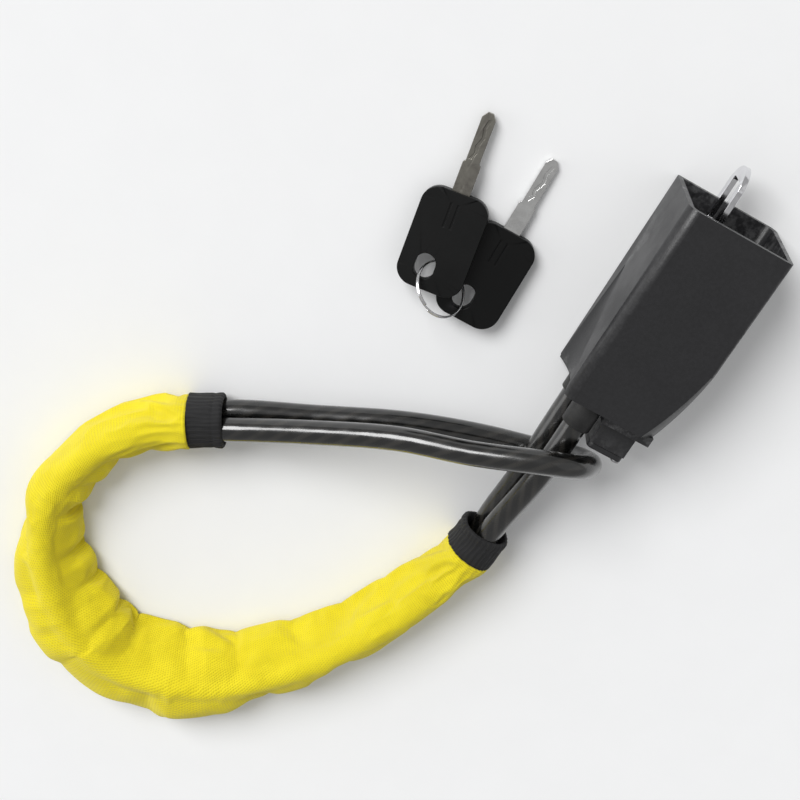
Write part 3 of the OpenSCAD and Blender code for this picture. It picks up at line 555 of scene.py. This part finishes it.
# ---------------------------------------------------------------- settings
class CableSettings(bpy.types.PropertyGroup):
    """The jacketed cable."""

    diameter: FloatProperty(
        name="Diameter", description="Outside diameter of the vinyl jacket",
        default=0.011, min=0.009, max=0.0132, unit="LENGTH")
    jacket: FloatVectorProperty(
        name="Jacket", description="Colour of the smoky jacket",
        default=(0.003, 0.003, 0.0027), subtype="COLOR")
    strands: FloatVectorProperty(
        name="Strands", description="Colour of the strands seen through the jacket",
        default=(0.022, 0.02, 0.017), subtype="COLOR")
    lay: FloatProperty(
        name="Lay", description="Turns of the strands for each circumference of length",
        default=0.55, min=0.1, max=1.5)


class SleeveSettings(bpy.types.PropertyGroup):
    """The cloth sleeve and its cuffs."""

    end_width: FloatProperty(
        name="End Width", description="Width of the sleeve beside its cuffs",
        default=0.026, min=0.02, max=0.032, unit="LENGTH")
    slack_width: FloatProperty(
        name="Slack Width", description="Width of the sleeve where it lies slack",
        default=0.046, min=0.036, max=0.056, unit="LENGTH")
    height: FloatProperty(
        name="Height", description="Height of the sleeve over both cable runs",
        default=0.0298, min=0.027, max=0.034, unit="LENGTH")
    fold_depth: FloatProperty(
        name="Fold Depth", description="Strength of the cloth's folds before it settles",
        default=1.5, min=0.0, max=2.5)
    ease: FloatProperty(
        name="Ease", description="Length of the cloth against the path it follows",
        default=1.0, min=0.9, max=1.2)
    bending: FloatProperty(
        name="Bending", description="Bending stiffness of the cloth",
        default=0.35, min=0.05, max=20.0)
    frames: IntProperty(
        name="Frames", description="Frames for which the cloth settles",
        default=24, min=5, max=60)
    cap: FloatProperty(
        name="Cap", description="Furthest that any point of the cloth may move",
        default=0.006, min=0.001, max=0.012, unit="LENGTH")
    self_contact: BoolProperty(
        name="Self Contact", description="Keep the folds of the cloth clear of one another", default=False)
    cuff_width: FloatProperty(
        name="Cuff Width", description="Width of the elastic cuffs",
        default=0.0235, min=0.02, max=0.025, unit="LENGTH")
    cloth: FloatVectorProperty(
        name="Cloth", description="Colour of the cloth in the light",
        default=(0.80, 0.675, 0.011), subtype="COLOR")
    # painted shade: the cloth's colour where it lies in shade, used between its threads and for its slow tone
    # changes
    cloth_painted_shade_and_tone: FloatVectorProperty(
        name="Cloth Shade", description="Colour of the cloth between its threads",
        default=(0.47, 0.35, 0.003), subtype="COLOR")
    threads: FloatProperty(
        name="Threads", description="Twill ribs for each millimetre of cloth",
        default=0.8, min=0.3, max=3.0)
    elastic: FloatVectorProperty(
        name="Elastic", description="Colour of the cuffs",
        default=(0.005, 0.005, 0.0055), subtype="COLOR")


class HousingSettings(bpy.types.PropertyGroup):
    """The moulded housing."""

    plastic: FloatVectorProperty(
        name="Plastic", description="Colour of the housing",
        default=(0.014, 0.014, 0.0155), subtype="COLOR")
    rubbed: FloatVectorProperty(
        name="Rubbed Edges", description="Colour of the housing's rubbed edges",
        default=(0.09, 0.09, 0.092), subtype="COLOR")
    edge_radius: FloatProperty(
        name="Edge Radius", description="Rounding of the moulded edges",
        default=0.0004, min=0.0, max=0.001, unit="LENGTH")


class KeySettings(bpy.types.PropertyGroup):
    """The two keys and their ring."""

    grip: FloatVectorProperty(
        name="Grip", description="Colour of the key grips",
        default=(0.004, 0.0042, 0.0042), subtype="COLOR")
    dark_blade: FloatVectorProperty(
        name="Dark Blade", description="Metal of the first key",
        default=(0.26, 0.25, 0.22), subtype="COLOR")
    bright_blade: FloatVectorProperty(
        name="Bright Blade", description="Metal of the second key",
        default=(0.75, 0.75, 0.74), subtype="COLOR")
    ring_turns: IntProperty(
        name="Ring Turns", description="Turns of wire in the split ring", default=2, min=1, max=3)


class StudioSettings(bpy.types.PropertyGroup):
    """The table top and lights."""

    floor: FloatVectorProperty(
        name="Floor", description="Colour of the table top",
        default=(0.85, 0.855, 0.86), subtype="COLOR")
    key_light: FloatProperty(
        name="Key Light", description="Strength of the soft light from the left", default=2.55, min=0.0)
    fill_light: FloatProperty(
        name="Fill Light", description="Power of the light opposite", default=0.9, min=0.0, unit="POWER")
    side_light: FloatProperty(
        name="Side Light", description="Power of the low light from the left",
        default=2.5, min=0.0, unit="POWER")
    surround: FloatProperty(
        name="Surround", description="Brightness of the room", default=0.42, min=0.0, max=2.0)


SETTINGS = {
    "lock_cable": CableSettings,
    "lock_sleeve": SleeveSettings,
    "lock_housing": HousingSettings,
    "lock_keys": KeySettings,
    "lock_studio": StudioSettings,
}


# ---------------------------------------------------------------- sleeve shape
def lead_point(low, high, share):
    """Point midway between the two runs, at a share of the stretch that leads into the loop, in metres."""
    pair = [spline_point(*[Vector(p) for p in run], share) for run in (low, high)]
    return (pair[0] + pair[1]) / 2 * MM


def lower_lead(share):
    """Point between the runs on the stretch from the glands."""
    return lead_point(
        [*LOWER_RUN[2:], *[(x, y, RUN_LOW) for x, y in LOOP[:2]]],
        [UPPER_RUN[1], UPPER_RUN[0], *[(x, y, RUN_HIGH) for x, y in LOOP[:2]]], share)


def upper_lead(share):
    """Point between the runs on the stretch from the noose."""
    return lead_point(
        [NOOSE[1], NOOSE[0], *[(x, y, RUN_LOW) for x, y in LOOP[:-3:-1]]],
        [NOOSE[-2], NOOSE[-1], *[(x, y, RUN_HIGH) for x, y in LOOP[:-3:-1]]], share)


def sleeve_path():
    """Centreline of the sleeve from cuff to cuff, in metres."""
    mid = (RUN_LOW + RUN_HIGH) / 2
    whole = [LOWER_RUN[-1][:2], *LOOP, NOOSE[0][:2]]
    points = smooth_path([(x, y, mid) for x, y in whole], 30)[30:-30]
    lead_in = [lower_lead(SLEEVE_START + (1 - SLEEVE_START) * k / 4) for k in range(4)]
    lead_out = [upper_lead(1 + (SLEEVE_STOP - 1) * k / 12) for k in range(1, 13)]
    line = [p * MM for p in points]
    ends = [Vector((p.x, p.y, mid * MM)) for p in lead_in]
    tail = [Vector((p.x, p.y, mid * MM)) for p in lead_out]
    return [*ends, *line, *tail]


PINCHES = [
    # share of the length, depth in mm, reach before and after in mm, angle in turns (0 outside, 0.5 inside)
    (0.06, 1.2, 7, 10, 0.42), (0.12, 1.6, 9, 6, 0.46), (0.19, 2.0, 6, 11, 0.45), (0.27, 2.6, 12, 6, 0.47),
    (0.35, 2.2, 7, 12, 0.44), (0.43, 2.6, 10, 7, 0.47), (0.52, 2.4, 7, 12, 0.46), (0.585, 3.6, 12, 5, 0.49),
    (0.645, 3.0, 6, 10, 0.46), (0.705, 2.6, 9, 6, 0.48), (0.775, 4.6, 5, 13, 0.50), (0.83, 2.4, 9, 5, 0.46),
    (0.885, 2.0, 6, 9, 0.47), (0.94, 1.4, 8, 6, 0.44),
    (0.23, 1.4, 14, 6, 0.20), (0.33, 1.5, 6, 16, 0.10), (0.47, 2.2, 5, 18, 0.16), (0.56, 1.8, 16, 6, 0.08),
    (0.66, 2.0, 6, 16, 0.22), (0.74, 1.6, 14, 6, 0.12), (0.86, 1.2, 6, 12, 0.24),
]


def lattice_value(i, j, columns):
    """Fixed value of a corner of the facet lattice, -1 to 1."""
    return 1.7 * noise.noise(Vector((i * 3.71 + 0.37, (j % columns) * 5.13 + 0.61, 4.2)))


def facet_height(along, around, stride=0.021, columns=7):
    """Piecewise flat facets that meet in slanting creases, -1 to 1."""
    u = along / stride + 0.55 * noise.noise(Vector((along * 30, around * 2, 8.1)))
    v = around * columns + 0.6 * noise.noise(Vector((along * 24, 0.0, 2.3))) + 0.5 * math.floor(u)
    i, j = math.floor(u), math.floor(v)
    fu, fv = u - i, v - j
    shift = round(0.5 * i)
    a, b = lattice_value(i, j - shift, columns), lattice_value(i + 1, j - shift, columns)
    c, d = lattice_value(i, j + 1 - shift, columns), lattice_value(i + 1, j + 1 - shift, columns)
    if fu + fv < 1:
        return a + fu * (b - a) + fv * (c - a)
    return d + (1 - fu) * (c - d) + (1 - fv) * (b - d)


def fold_height(along, around, slack):
    """How far the cloth stands in or out of its oval at a place, in metres."""
    total = 0.0
    for step in (-0.0014, 0.0, 0.0014):
        total += facet_height(along + step, around + step * 4) / 3
    total *= 0.0011 + 0.0016 * slack
    for at, depth, before, after, centre in PINCHES:
        near = (along - at * SLEEVE_LENGTH - 0.012 * (around - centre)) / MM
        if -before < near < after:
            valley = 1 + near / before if near < 0 else 1 - near / after
            spread = math.exp(-((around - centre) / 0.15) ** 2)
            total -= depth * MM * valley ** 1.3 * spread
    return total


SLEEVE_LENGTH = path_lengths(sleeve_path())[-1]


def oval_point(centre, side, half_width, half_height, angle, slack):
    """Cross-section of the sleeve: an oval that slumps at its sides where the cloth is slack."""
    c, s = math.cos(angle), math.sin(angle)
    x = half_width * math.copysign(abs(c) ** 0.9, c)
    z = half_height * math.copysign(abs(s) ** 0.85, s)
    z -= 0.24 * slack * half_height * abs(c) ** 1.5
    return centre + x * side + Vector((0, 0, z))


def sleeve_rings(settings, path):
    """Rings of the outside of the sleeve, wrinkled and gathered at both cuffs."""
    sides = SLEEVE_SIDES
    lengths = path_lengths(path)
    total = lengths[-1]
    slackness = [0, *SLACKNESS, 0]
    rings = []
    for i, p in enumerate(path):
        t = tangent(path, i)
        side = Vector((-t.y, t.x, 0)).normalized()
        slack = value_along(slackness, i / (len(path) - 1))
        half_width = (settings.end_width + (settings.slack_width - settings.end_width) * slack) / 2
        ends = min(1.0, min(lengths[i], total - lengths[i]) / 0.012)
        gather = 1 - ends * ends * (3 - 2 * ends)
        half_width = half_width * (1 - 0.09 * gather) - 0.0006
        top = settings.height - 0.0018 * gather
        centre = Vector((p.x, p.y, (top + TABLE_GAP) / 2))
        ring = []
        for k in range(sides):
            around = k / sides
            angle = 2 * math.pi * around
            spread = 1 + (0.24 * slack * (1 - gather) if math.cos(angle) > 0 else 0)
            point = oval_point(centre, side, half_width * spread, (top - TABLE_GAP) / 2, angle, slack)
            out = Vector((0, 0, math.sin(angle))) + math.cos(angle) * side
            lift = settings.fold_depth * fold_height(lengths[i], around, slack) * (1 - 0.75 * gather)
            wander = noise.noise(Vector((around * 9, 0, i * 0.01)))
            lift += 0.00045 * gather * math.sin(angle * 17 + 3 * wander)
            if point.z < 0.006:
                lift *= max(0.0, (point.z - 0.0004) / 0.0056)
            point = point + lift * out
            point.z = min(max(point.z, TABLE_GAP), settings.height + 0.0012)
            ring.append(point)
        rings.append(ring)
    return rings, lengths, sides


def straight_rings(rings, ease):
    """The same rings as the straight tube that was sewn, nearly as long as the outside of the bend."""
    flat, x = [], 0.0
    sides = len(rings[0])
    for i, ring in enumerate(rings):
        if i:
            steps = [(a - b).length for a, b in zip(ring, rings[i - 1])]
            x += ease * (0.85 * max(steps) + 0.15 * sum(steps) / sides)
        girth = sum((ring[k] - ring[k - 1]).length for k in range(sides))
        radius = girth / (2 * math.pi)
        turns = [2 * math.pi * k / sides for k in range(sides)]
        flat.append([Vector((x, radius * math.cos(a), radius * math.sin(a))) for a in turns])
    return flat


def grid_faces(rows, sides):
    """Quads of a tube of rings."""
    faces = []
    for row in range(rows - 1):
        for k in range(sides):
            a, b = row * sides + k, row * sides + (k + 1) % sides
            faces.append((a, b, b + sides, a + sides))
    return faces


def simulation_object(name, verts, faces):
    """A passing object for the simulation, in its larger scale."""
    mesh = bpy.data.meshes.new(name)
    mesh.from_pydata([p * SIMULATION_SCALE for p in verts], [], faces)
    obj = bpy.data.objects.new(name, mesh)
    bpy.context.scene.collection.objects.link(obj)
    return obj


def make_solid(obj):
    """Lets cloth rest on an object."""
    obj.modifiers.new("collision", "COLLISION")
    obj.collision.thickness_outer = 0.004
    obj.collision.cloth_friction = 20


def make_cloth(obj, straight, held, settings):
    """Gives an object its cloth: its straight rest shape and the points that are held."""
    obj.shape_key_add(name="Basis")
    key = obj.shape_key_add(name="straight")
    for i, p in enumerate(straight):
        key.data[i].co = p * SIMULATION_SCALE
    key.value = 0.0
    pinned = obj.vertex_groups.new(name="pinned")
    pinned.add(held, 1.0, "REPLACE")
    modifier = obj.modifiers.new("settle", "CLOTH")
    for name, value in CLOTH.items():
        setattr(modifier.settings, name, value)
    modifier.settings.bending_stiffness = settings.bending
    modifier.settings.vertex_group_mass = "pinned"
    modifier.settings.rest_shape_key = key
    for name, value in CONTACT.items():
        setattr(modifier.collision_settings, name, value)
    modifier.collision_settings.use_self_collision = settings.self_contact
    modifier.point_cache.frame_start = 1
    modifier.point_cache.frame_end = settings.frames


def run_cloth(obj, frames):
    """Steps the simulation and returns the settled points at their real size."""
    scene = bpy.context.scene
    for frame_number in range(1, frames + 1):
        scene.frame_set(frame_number)
    settled = obj.evaluated_get(bpy.context.evaluated_depsgraph_get())
    points = [v.co / SIMULATION_SCALE for v in settled.to_mesh().vertices]
    settled.to_mesh_clear()
    return points


def settle_cloth(rings, obstacle, settings):
    """Settles the sleeve over the cable by cloth simulation.

    Its rest shape is the straight tube, so the cloth buckles on the inside of the bend.
    """
    sides = len(rings[0])
    count = len(rings) * sides
    cloth = simulation_object(
        "sleeve_simulation", [p for ring in rings for p in ring], grid_faces(len(rings), sides))
    straight = [p for ring in straight_rings(rings, settings.ease) for p in ring]
    held = [*range(2 * sides), *range(count - 2 * sides, count)]
    table = simulation_object(
        "simulation_table",
        [Vector((x, y, 0)) for x, y in ((-0.9, -0.9), (0.9, -0.9), (0.9, 0.9), (-0.9, 0.9))],
        [(0, 1, 2, 3)])
    core = simulation_object(
        "simulation_cable", [v.co for v in obstacle.data.vertices],
        [tuple(face.vertices) for face in obstacle.data.polygons])
    make_solid(table)
    make_solid(core)
    make_cloth(cloth, straight, held, settings)
    points = run_cloth(cloth, settings.frames)
    for obj in (cloth, table, core):
        mesh = obj.data
        bpy.data.objects.remove(obj)
        bpy.data.meshes.remove(mesh)
    bpy.context.scene.frame_set(1)
    moved = []
    for start, end in zip((p for ring in rings for p in ring), points):
        step = end - start
        if step.length > settings.cap:
            step *= settings.cap / step.length
        p = start + step
        p.z = min(max(p.z, TABLE_GAP), settings.height + 0.0008)
        moved.append(p)
    return [moved[i:i + sides] for i in range(0, count, sides)]


def sew_sleeve(settings, cable):
    """The sleeve as one closed cloth tube, turned in at both ends."""
    path = sleeve_path()
    rings, lengths, sides = sleeve_rings(settings, path)
    rings = settle_cloth(rings, cable, settings)
    tucked_start = [[p.lerp(path[0], s) + d for p in rings[0]]
                    for s, d in ((0.32, Vector((0, -0.0035, 0))), (0.16, Vector((0, -0.0004, 0))))]
    back = -tangent(path, len(path) - 1)
    tucked_end = [[p.lerp(path[-1], s) + d for p in rings[-1]]
                  for s, d in ((0.16, back * 0.0004), (0.32, back * 0.0035))]
    whole = [*tucked_start, *rings, *tucked_end]
    along = [-0.006, -0.002, *lengths, lengths[-1] + 0.002, lengths[-1] + 0.006]
    girth = 2 * (settings.height + settings.slack_width) * 0.8
    around = [k / sides * girth * 1000 for k in range(sides + 1)]
    obj = loft("sleeve_cloth", whole, around, [1000 * v for v in along])
    finer = obj.modifiers.new("subdivision", "SUBSURF")
    finer.levels = finer.render_levels = 1
    return obj


def knit_cuff(name, lead, sleeve_end, stretch, settings):
    """An elastic cuff from the sleeve to its open rim: gathered outside, with a turned-in lining."""
    reach = CUFF_LENGTH / stretch
    path = [lead(sleeve_end + 0.01 - (CUFF_GAP + reach + 0.01) * k / 28) for k in range(29)]
    lengths = path_lengths(path)
    total = lengths[-1]
    sides = 144
    half_width = settings.cuff_width / 2
    half_height = CUFF_HEIGHT / 2
    rings, along = [], []
    for i, p in enumerate(path):
        t = tangent(path, i)
        side = Vector((-t.y, t.x, 0)).normalized()
        share = lengths[i] / total
        rim = min(1.0, (1 - share) * total / 0.0016)
        roll = math.sqrt(max(0.0, 1 - (1 - rim) ** 2))
        waist = 0.00035 * math.sin(math.pi * share) + 0.0009 * (1 - roll)
        hem = 0.0003 * math.exp(-((share - 0.72) / 0.05) ** 2)
        ring = []
        for k in range(sides):
            a = 2 * math.pi * k / sides
            c, s = math.cos(a), math.sin(a)
            wave = noise.noise(Vector((c * 3, s * 3, share * 2.0)))
            rib = 0.00022 * math.sin(34 * a + 2.5 * wave)
            lift = rib - waist - hem + 0.0004 * wave
            x = (half_width + lift) * math.copysign(abs(c) ** 0.9, c)
            z = (half_height + lift) * math.copysign(abs(s) ** 0.85, s)
            ring.append(p + x * side + Vector((0, 0, z)))
        rings.append(ring)
        along.append(lengths[i])
    outer = rings[-1]
    t = tangent(path, len(path) - 1)
    end = path[-1]
    for inset, back in ((0.05, 0.0002), (0.1, -0.0001), (0.14, -0.001), (0.17, -0.003), (0.2, -0.006)):
        rings.append([q.lerp(end, inset) + t * back for q in outer])
        along.append(along[-1] + 0.0012)
    around = [k / sides * 82 for k in range(sides + 1)]
    return loft(name, rings, around, [1000 * v for v in along])


# ---------------------------------------------------------------- operators
class LOCK_OT_place_camera(bpy.types.Operator):
    """Place the camera over the table"""

    bl_idname = "lock.place_camera"
    bl_label = "Place Camera"

    def execute(self, context):
        data = bpy.data.cameras.new("camera")
        data.lens = 76.5
        data.sensor_width = 36
        data.clip_start = 0.01
        camera = bpy.data.objects.new("camera", data)
        right = Vector((0.8722, 0.4878, -0.0358)).normalized()
        ahead = Vector((0.1753, -0.3801, -0.9082)).normalized()
        up = right.cross(ahead).normalized()
        right = ahead.cross(up).normalized()
        turn = Matrix((right, up, -ahead)).transposed().to_4x4()
        camera.matrix_world = Matrix.Translation(Vector((-210.1, 189.1, 698.1)) * MM) @ turn
        context.scene.collection.objects.link(camera)
        context.scene.camera = camera
        return {"FINISHED"}


class LOCK_OT_lay_cable(bpy.types.Operator):
    """Lay the jacketed cable from gland to gland"""

    bl_idname = "lock.lay_cable"
    bl_label = "Lay Cable"

    def execute(self, context):
        settings = context.scene.lock_cable
        route = [
            *LOWER_RUN, *[(x, y, RUN_LOW) for x, y in LOOP], *NOOSE,
            *[(x, y, RUN_HIGH) for x, y in reversed(LOOP)], *UPPER_RUN,
        ]
        path = [p * MM for p in smooth_path(route, 8)]
        obj = round_tube("cable_jacket", path, settings.diameter / 2, 28)
        obj.data.materials.append(smoky_jacket(tuple(settings.jacket), tuple(settings.strands), settings.lay))
        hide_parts("cable")
        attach(obj, "housing")
        obj["centreline"] = [c for p in path for c in p]
        return {"FINISHED"}


class LOCK_OT_sew_sleeve(bpy.types.Operator):
    """Sew the wrinkled cloth sleeve and its elastic cuffs"""

    bl_idname = "lock.sew_sleeve"
    bl_label = "Sew Sleeve and Cuffs"

    def execute(self, context):
        settings = context.scene.lock_sleeve
        sleeve = sew_sleeve(settings, bpy.data.objects["cable_jacket"])
        sleeve.data.materials.append(
            twill_cloth(tuple(settings.cloth), tuple(settings.cloth_painted_shade_and_tone), settings.threads))
        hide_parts("sleeve")
        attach(sleeve, "housing")
        elastic = ribbed_elastic(tuple(settings.elastic))
        low_stretch = (Vector((*LOOP[0], RUN_LOW)) - Vector(LOWER_RUN[-1])).length
        high_stretch = (Vector((*LOOP[-1], RUN_LOW)) - Vector(NOOSE[0])).length
        for name, node, lead, sleeve_end, stretch in (
            ("lower_cuff_elastic", "lower_cuff", lower_lead, SLEEVE_START, low_stretch),
            ("upper_cuff_elastic", "upper_cuff", upper_lead, SLEEVE_STOP, high_stretch),
        ):
            cuff = knit_cuff(name, lead, sleeve_end, stretch, settings)
            cuff.data.materials.append(elastic)
            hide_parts(node)
            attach(cuff, "housing")
        return {"FINISHED"}


class LOCK_OT_finish_housing(bpy.types.Operator):
    """Finish the moulded housing, its end cap, screws, glands and dust cover"""

    bl_idname = "lock.finish_housing"
    bl_label = "Finish Housing"

    def execute(self, context):
        settings = context.scene.lock_housing
        shell = moulded_plastic(
            "housing_plastic", tuple(settings.plastic), tuple(settings.rubbed), 0.42, 1500.0, 0.00005)
        cap = moulded_plastic(
            "cap_plastic", tuple(c * 0.9 for c in settings.plastic), tuple(settings.rubbed),
            0.46, 1700.0, 0.00004)
        rubber = moulded_plastic(
            "gland_rubber", (0.012, 0.012, 0.012), (0.04, 0.04, 0.04), 0.55, 900.0, 0.00003)
        screw = plated_metal("screw_steel", (0.42, 0.42, 0.44), 0.3, 0.00001, (0.3, 0.29, 0.27))
        for name in ("back_shell", "front_shell"):
            dress(name, shell, settings.edge_radius)
        dress("end_cap", cap, settings.edge_radius)
        dress("dust_cover", cap, 0.00035)
        dress("lower_gland", rubber, 0.0003)
        dress("upper_gland", rubber, 0.0003)
        for name in ("shell_screws", "end_cap_screws", "dust_cover_pin"):
            dress(name, screw, 0.00012)
        return {"FINISHED"}


class LOCK_OT_finish_tongue(bpy.types.Operator):
    """Finish the seat belt tongue and what holds it"""

    bl_idname = "lock.finish_tongue"
    bl_label = "Finish Tongue"

    def execute(self, context):
        chrome = plated_metal("tongue_chrome", (0.78, 0.78, 0.8), 0.08, 0.000012)
        zinc = plated_metal("bracket_zinc", (0.58, 0.55, 0.45), 0.36, 0.00002, (0.42, 0.38, 0.26))
        rivet = plated_metal("rivet_steel", (0.5, 0.5, 0.52), 0.28, 0.00001)
        dress("tongue", chrome, 0.0004, 3)
        dress("anchor_bracket", zinc, 0.0002)
        dress("tongue_rivets", rivet, 0.0003, 3)
        crimp = plated_metal("crimp_aluminium", (0.62, 0.62, 0.61), 0.34, 0.00003, (0.45, 0.45, 0.44))
        rope = stranded_wire("rope_strands", (0.45, 0.45, 0.46), 420.0)
        for name in ("lower_crimp", "upper_crimp"):
            dress(name, crimp, 0.0003)
        for name in ("lower_rope_end", "upper_rope_end"):
            dress(name, rope)
        return {"FINISHED"}


class LOCK_OT_finish_lock_works(bpy.types.Operator):
    """Finish the barrel, plug, cam, slider and spring"""

    bl_idname = "lock.finish_lock_works"
    bl_label = "Finish Lock Works"

    def execute(self, context):
        brass = plated_metal("lock_brass", (0.66, 0.53, 0.27), 0.26, 0.00002, (0.45, 0.33, 0.15))
        steel = plated_metal("cam_steel", (0.5, 0.5, 0.52), 0.3, 0.00002, (0.36, 0.34, 0.3))
        button = moulded_plastic(
            "slider_acetal", (0.012, 0.012, 0.013), (0.05, 0.05, 0.05), 0.36, 2400.0, 0.00001)
        spring = stranded_wire("spring_wire", (0.42, 0.42, 0.44), 900.0)
        dress("lock_barrel", brass, 0.0002)
        dress("lock_plug", brass, 0.0002)
        dress("cam", steel, 0.00012)
        dress("cam_screw", steel, 0.00012)
        dress("barrel_grub_screw", steel, 0.00012)
        dress("release_slider", button, 0.0003)
        coil = dress("return_spring", spring)
        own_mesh(coil)
        return {"FINISHED"}


class LOCK_OT_finish_keys(bpy.types.Operator):
    """Finish both keys and bend their split ring"""

    bl_idname = "lock.finish_keys"
    bl_label = "Finish Keys and Ring"

    def execute(self, context):
        settings = context.scene.lock_keys
        grip = moulded_plastic(
            "key_grip_plastic", tuple(settings.grip), (0.03, 0.03, 0.03),
            0.42, 2600.0, 0.000008, 0.1, 0.0, 0.2)
        dark = plated_metal("dark_blade_metal", tuple(settings.dark_blade), 0.3, 0.00003, (0.12, 0.11, 0.1))
        bright = plated_metal("bright_blade_metal", tuple(settings.bright_blade), 0.14, 0.00002)
        dress("key_1_grip", grip, 0.0004, 2)
        dress("key_2_grip", grip, 0.0004, 2)
        dress("key_1_blade", dark, 0.0002)
        dress("key_2_blade", bright, 0.0002)
        ring = split_ring(settings.ring_turns)
        ring.data.materials.append(plated_metal("ring_nickel", (0.72, 0.72, 0.73), 0.12, 0.00001))
        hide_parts("key_ring")
        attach(ring, "ring")
        return {"FINISHED"}


def split_ring(turns):
    """A split ring: turns of wire side by side, with a step where they cross over."""
    sag = Vector((0, 0, RING_SAG * MM))
    a, b = Vector(KEY_1_HOLE) * MM - sag, Vector(KEY_2_HOLE) * MM - sag
    low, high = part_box("key_ring")
    centre = (low + high) / 2
    chord = (b - a).normalized()
    across = ((a - centre).cross(b - centre)).normalized()
    out = across.cross(chord).normalized()
    radius = (a - centre).length
    wire = 0.0009 / turns
    points = []
    steps = 96 * turns
    for i in range(steps + 1):
        share = i / steps
        angle = 2 * math.pi * turns * share * 0.985 + 1.9
        lane = share * turns - turns / 2
        step = lane * 2 * wire
        spoke = math.cos(angle) * chord + math.sin(angle) * out
        points.append(centre + radius * spoke + step * across * 0.92)
    return round_tube("split_ring", points, wire * 1.02, 14)


class LOCK_OT_build_stage(bpy.types.Operator):
    """Build the pale table top and the soft studio lights"""

    bl_idname = "lock.build_stage"
    bl_label = "Build Stage"

    def execute(self, context):
        settings = context.scene.lock_studio
        floor = mesh_object(
            "table_top", [(-4, -4, 0), (4, -4, 0), (4, 4, 0), (-4, 4, 0)], [(0, 1, 2, 3)], smooth=False)
        material, tree, shader = new_material("table_paper")
        at = object_coordinates(tree)
        grain = place_group(tree, moulded_grain, {"Vector": at, "Scale": 700.0})
        base = blend_colours(
            tree, grain.outputs["Sheen"], (*settings.floor, 1), (*[c * 1.01 for c in settings.floor], 1))
        tree.links.new(base, shader.inputs["Base Color"])
        shader.inputs["Roughness"].default_value = 0.7
        shader.inputs["Specular IOR Level"].default_value = 0.2
        floor.data.materials.append(material)
        world = bpy.data.worlds.new("studio_room")
        world.use_nodes = True
        background = next(n for n in world.node_tree.nodes if n.type == "BACKGROUND")
        background.inputs["Color"].default_value = (1.0, 1.0, 1.0, 1)
        background.inputs["Strength"].default_value = settings.surround
        context.scene.world = world
        for name, kind, place, power, size in (
            ("key_light", "SUN", (-0.95, 0.42, 0.95), settings.key_light, 0.55),
            ("fill_light", "AREA", (0.75, 0.55, 0.8), settings.fill_light, 1.2),
            ("side_light", "AREA", (-1.15, -0.35, 0.3), settings.side_light, 0.7),
        ):
            data = bpy.data.lights.new(name, kind)
            data.energy = power
            if kind == "SUN":
                data.angle = size
            else:
                data.size = size
            light = bpy.data.objects.new(name, data)
            target = Vector((-0.09, -0.12, 0.0))
            light.location = place
            light.rotation_euler = (target - Vector(place)).to_track_quat("-Z", "Y").to_euler()
            context.scene.collection.objects.link(light)
        context.scene.view_settings.view_transform = "Standard"
        return {"FINISHED"}


OPERATORS = [
    LOCK_OT_place_camera,
    LOCK_OT_lay_cable,
    LOCK_OT_sew_sleeve,
    LOCK_OT_finish_housing,
    LOCK_OT_finish_tongue,
    LOCK_OT_finish_lock_works,
    LOCK_OT_finish_keys,
    LOCK_OT_build_stage,
]


class LOCK_PT_sidebar(bpy.types.Panel):
    """Sizes, colours and steps of the cable lock"""

    bl_idname = "LOCK_PT_sidebar"
    bl_label = "Cable Lock"
    bl_space_type = "VIEW_3D"
    bl_region_type = "UI"
    bl_category = "Cable Lock"

    def draw(self, context):
        layout = self.layout
        for name, group in SETTINGS.items():
            box = layout.box()
            box.label(text=group.__doc__)
            for prop in group.__annotations__:
                box.prop(getattr(context.scene, name), prop)
        for operator in OPERATORS:
            layout.operator(operator.bl_idname)


def register():
    """Registers the settings, steps and panel."""
    for name, group in SETTINGS.items():
        bpy.utils.register_class(group)
        setattr(bpy.types.Scene, name, PointerProperty(type=group))
    for operator in OPERATORS:
        bpy.utils.register_class(operator)
    bpy.utils.register_class(LOCK_PT_sidebar)


def unregister():
    """Removes the panel, steps and settings."""
    bpy.utils.unregister_class(LOCK_PT_sidebar)
    for operator in reversed(OPERATORS):
        bpy.utils.unregister_class(operator)
    for name, group in SETTINGS.items():
        delattr(bpy.types.Scene, name)
        bpy.utils.unregister_class(group)


def main():
    """Builds every piece in order."""
    register()
    for operator in OPERATORS:
        step = operator.bl_idname.split(".")[1]
        getattr(bpy.ops.lock, step)()


if __name__ == "__main__":
    main()
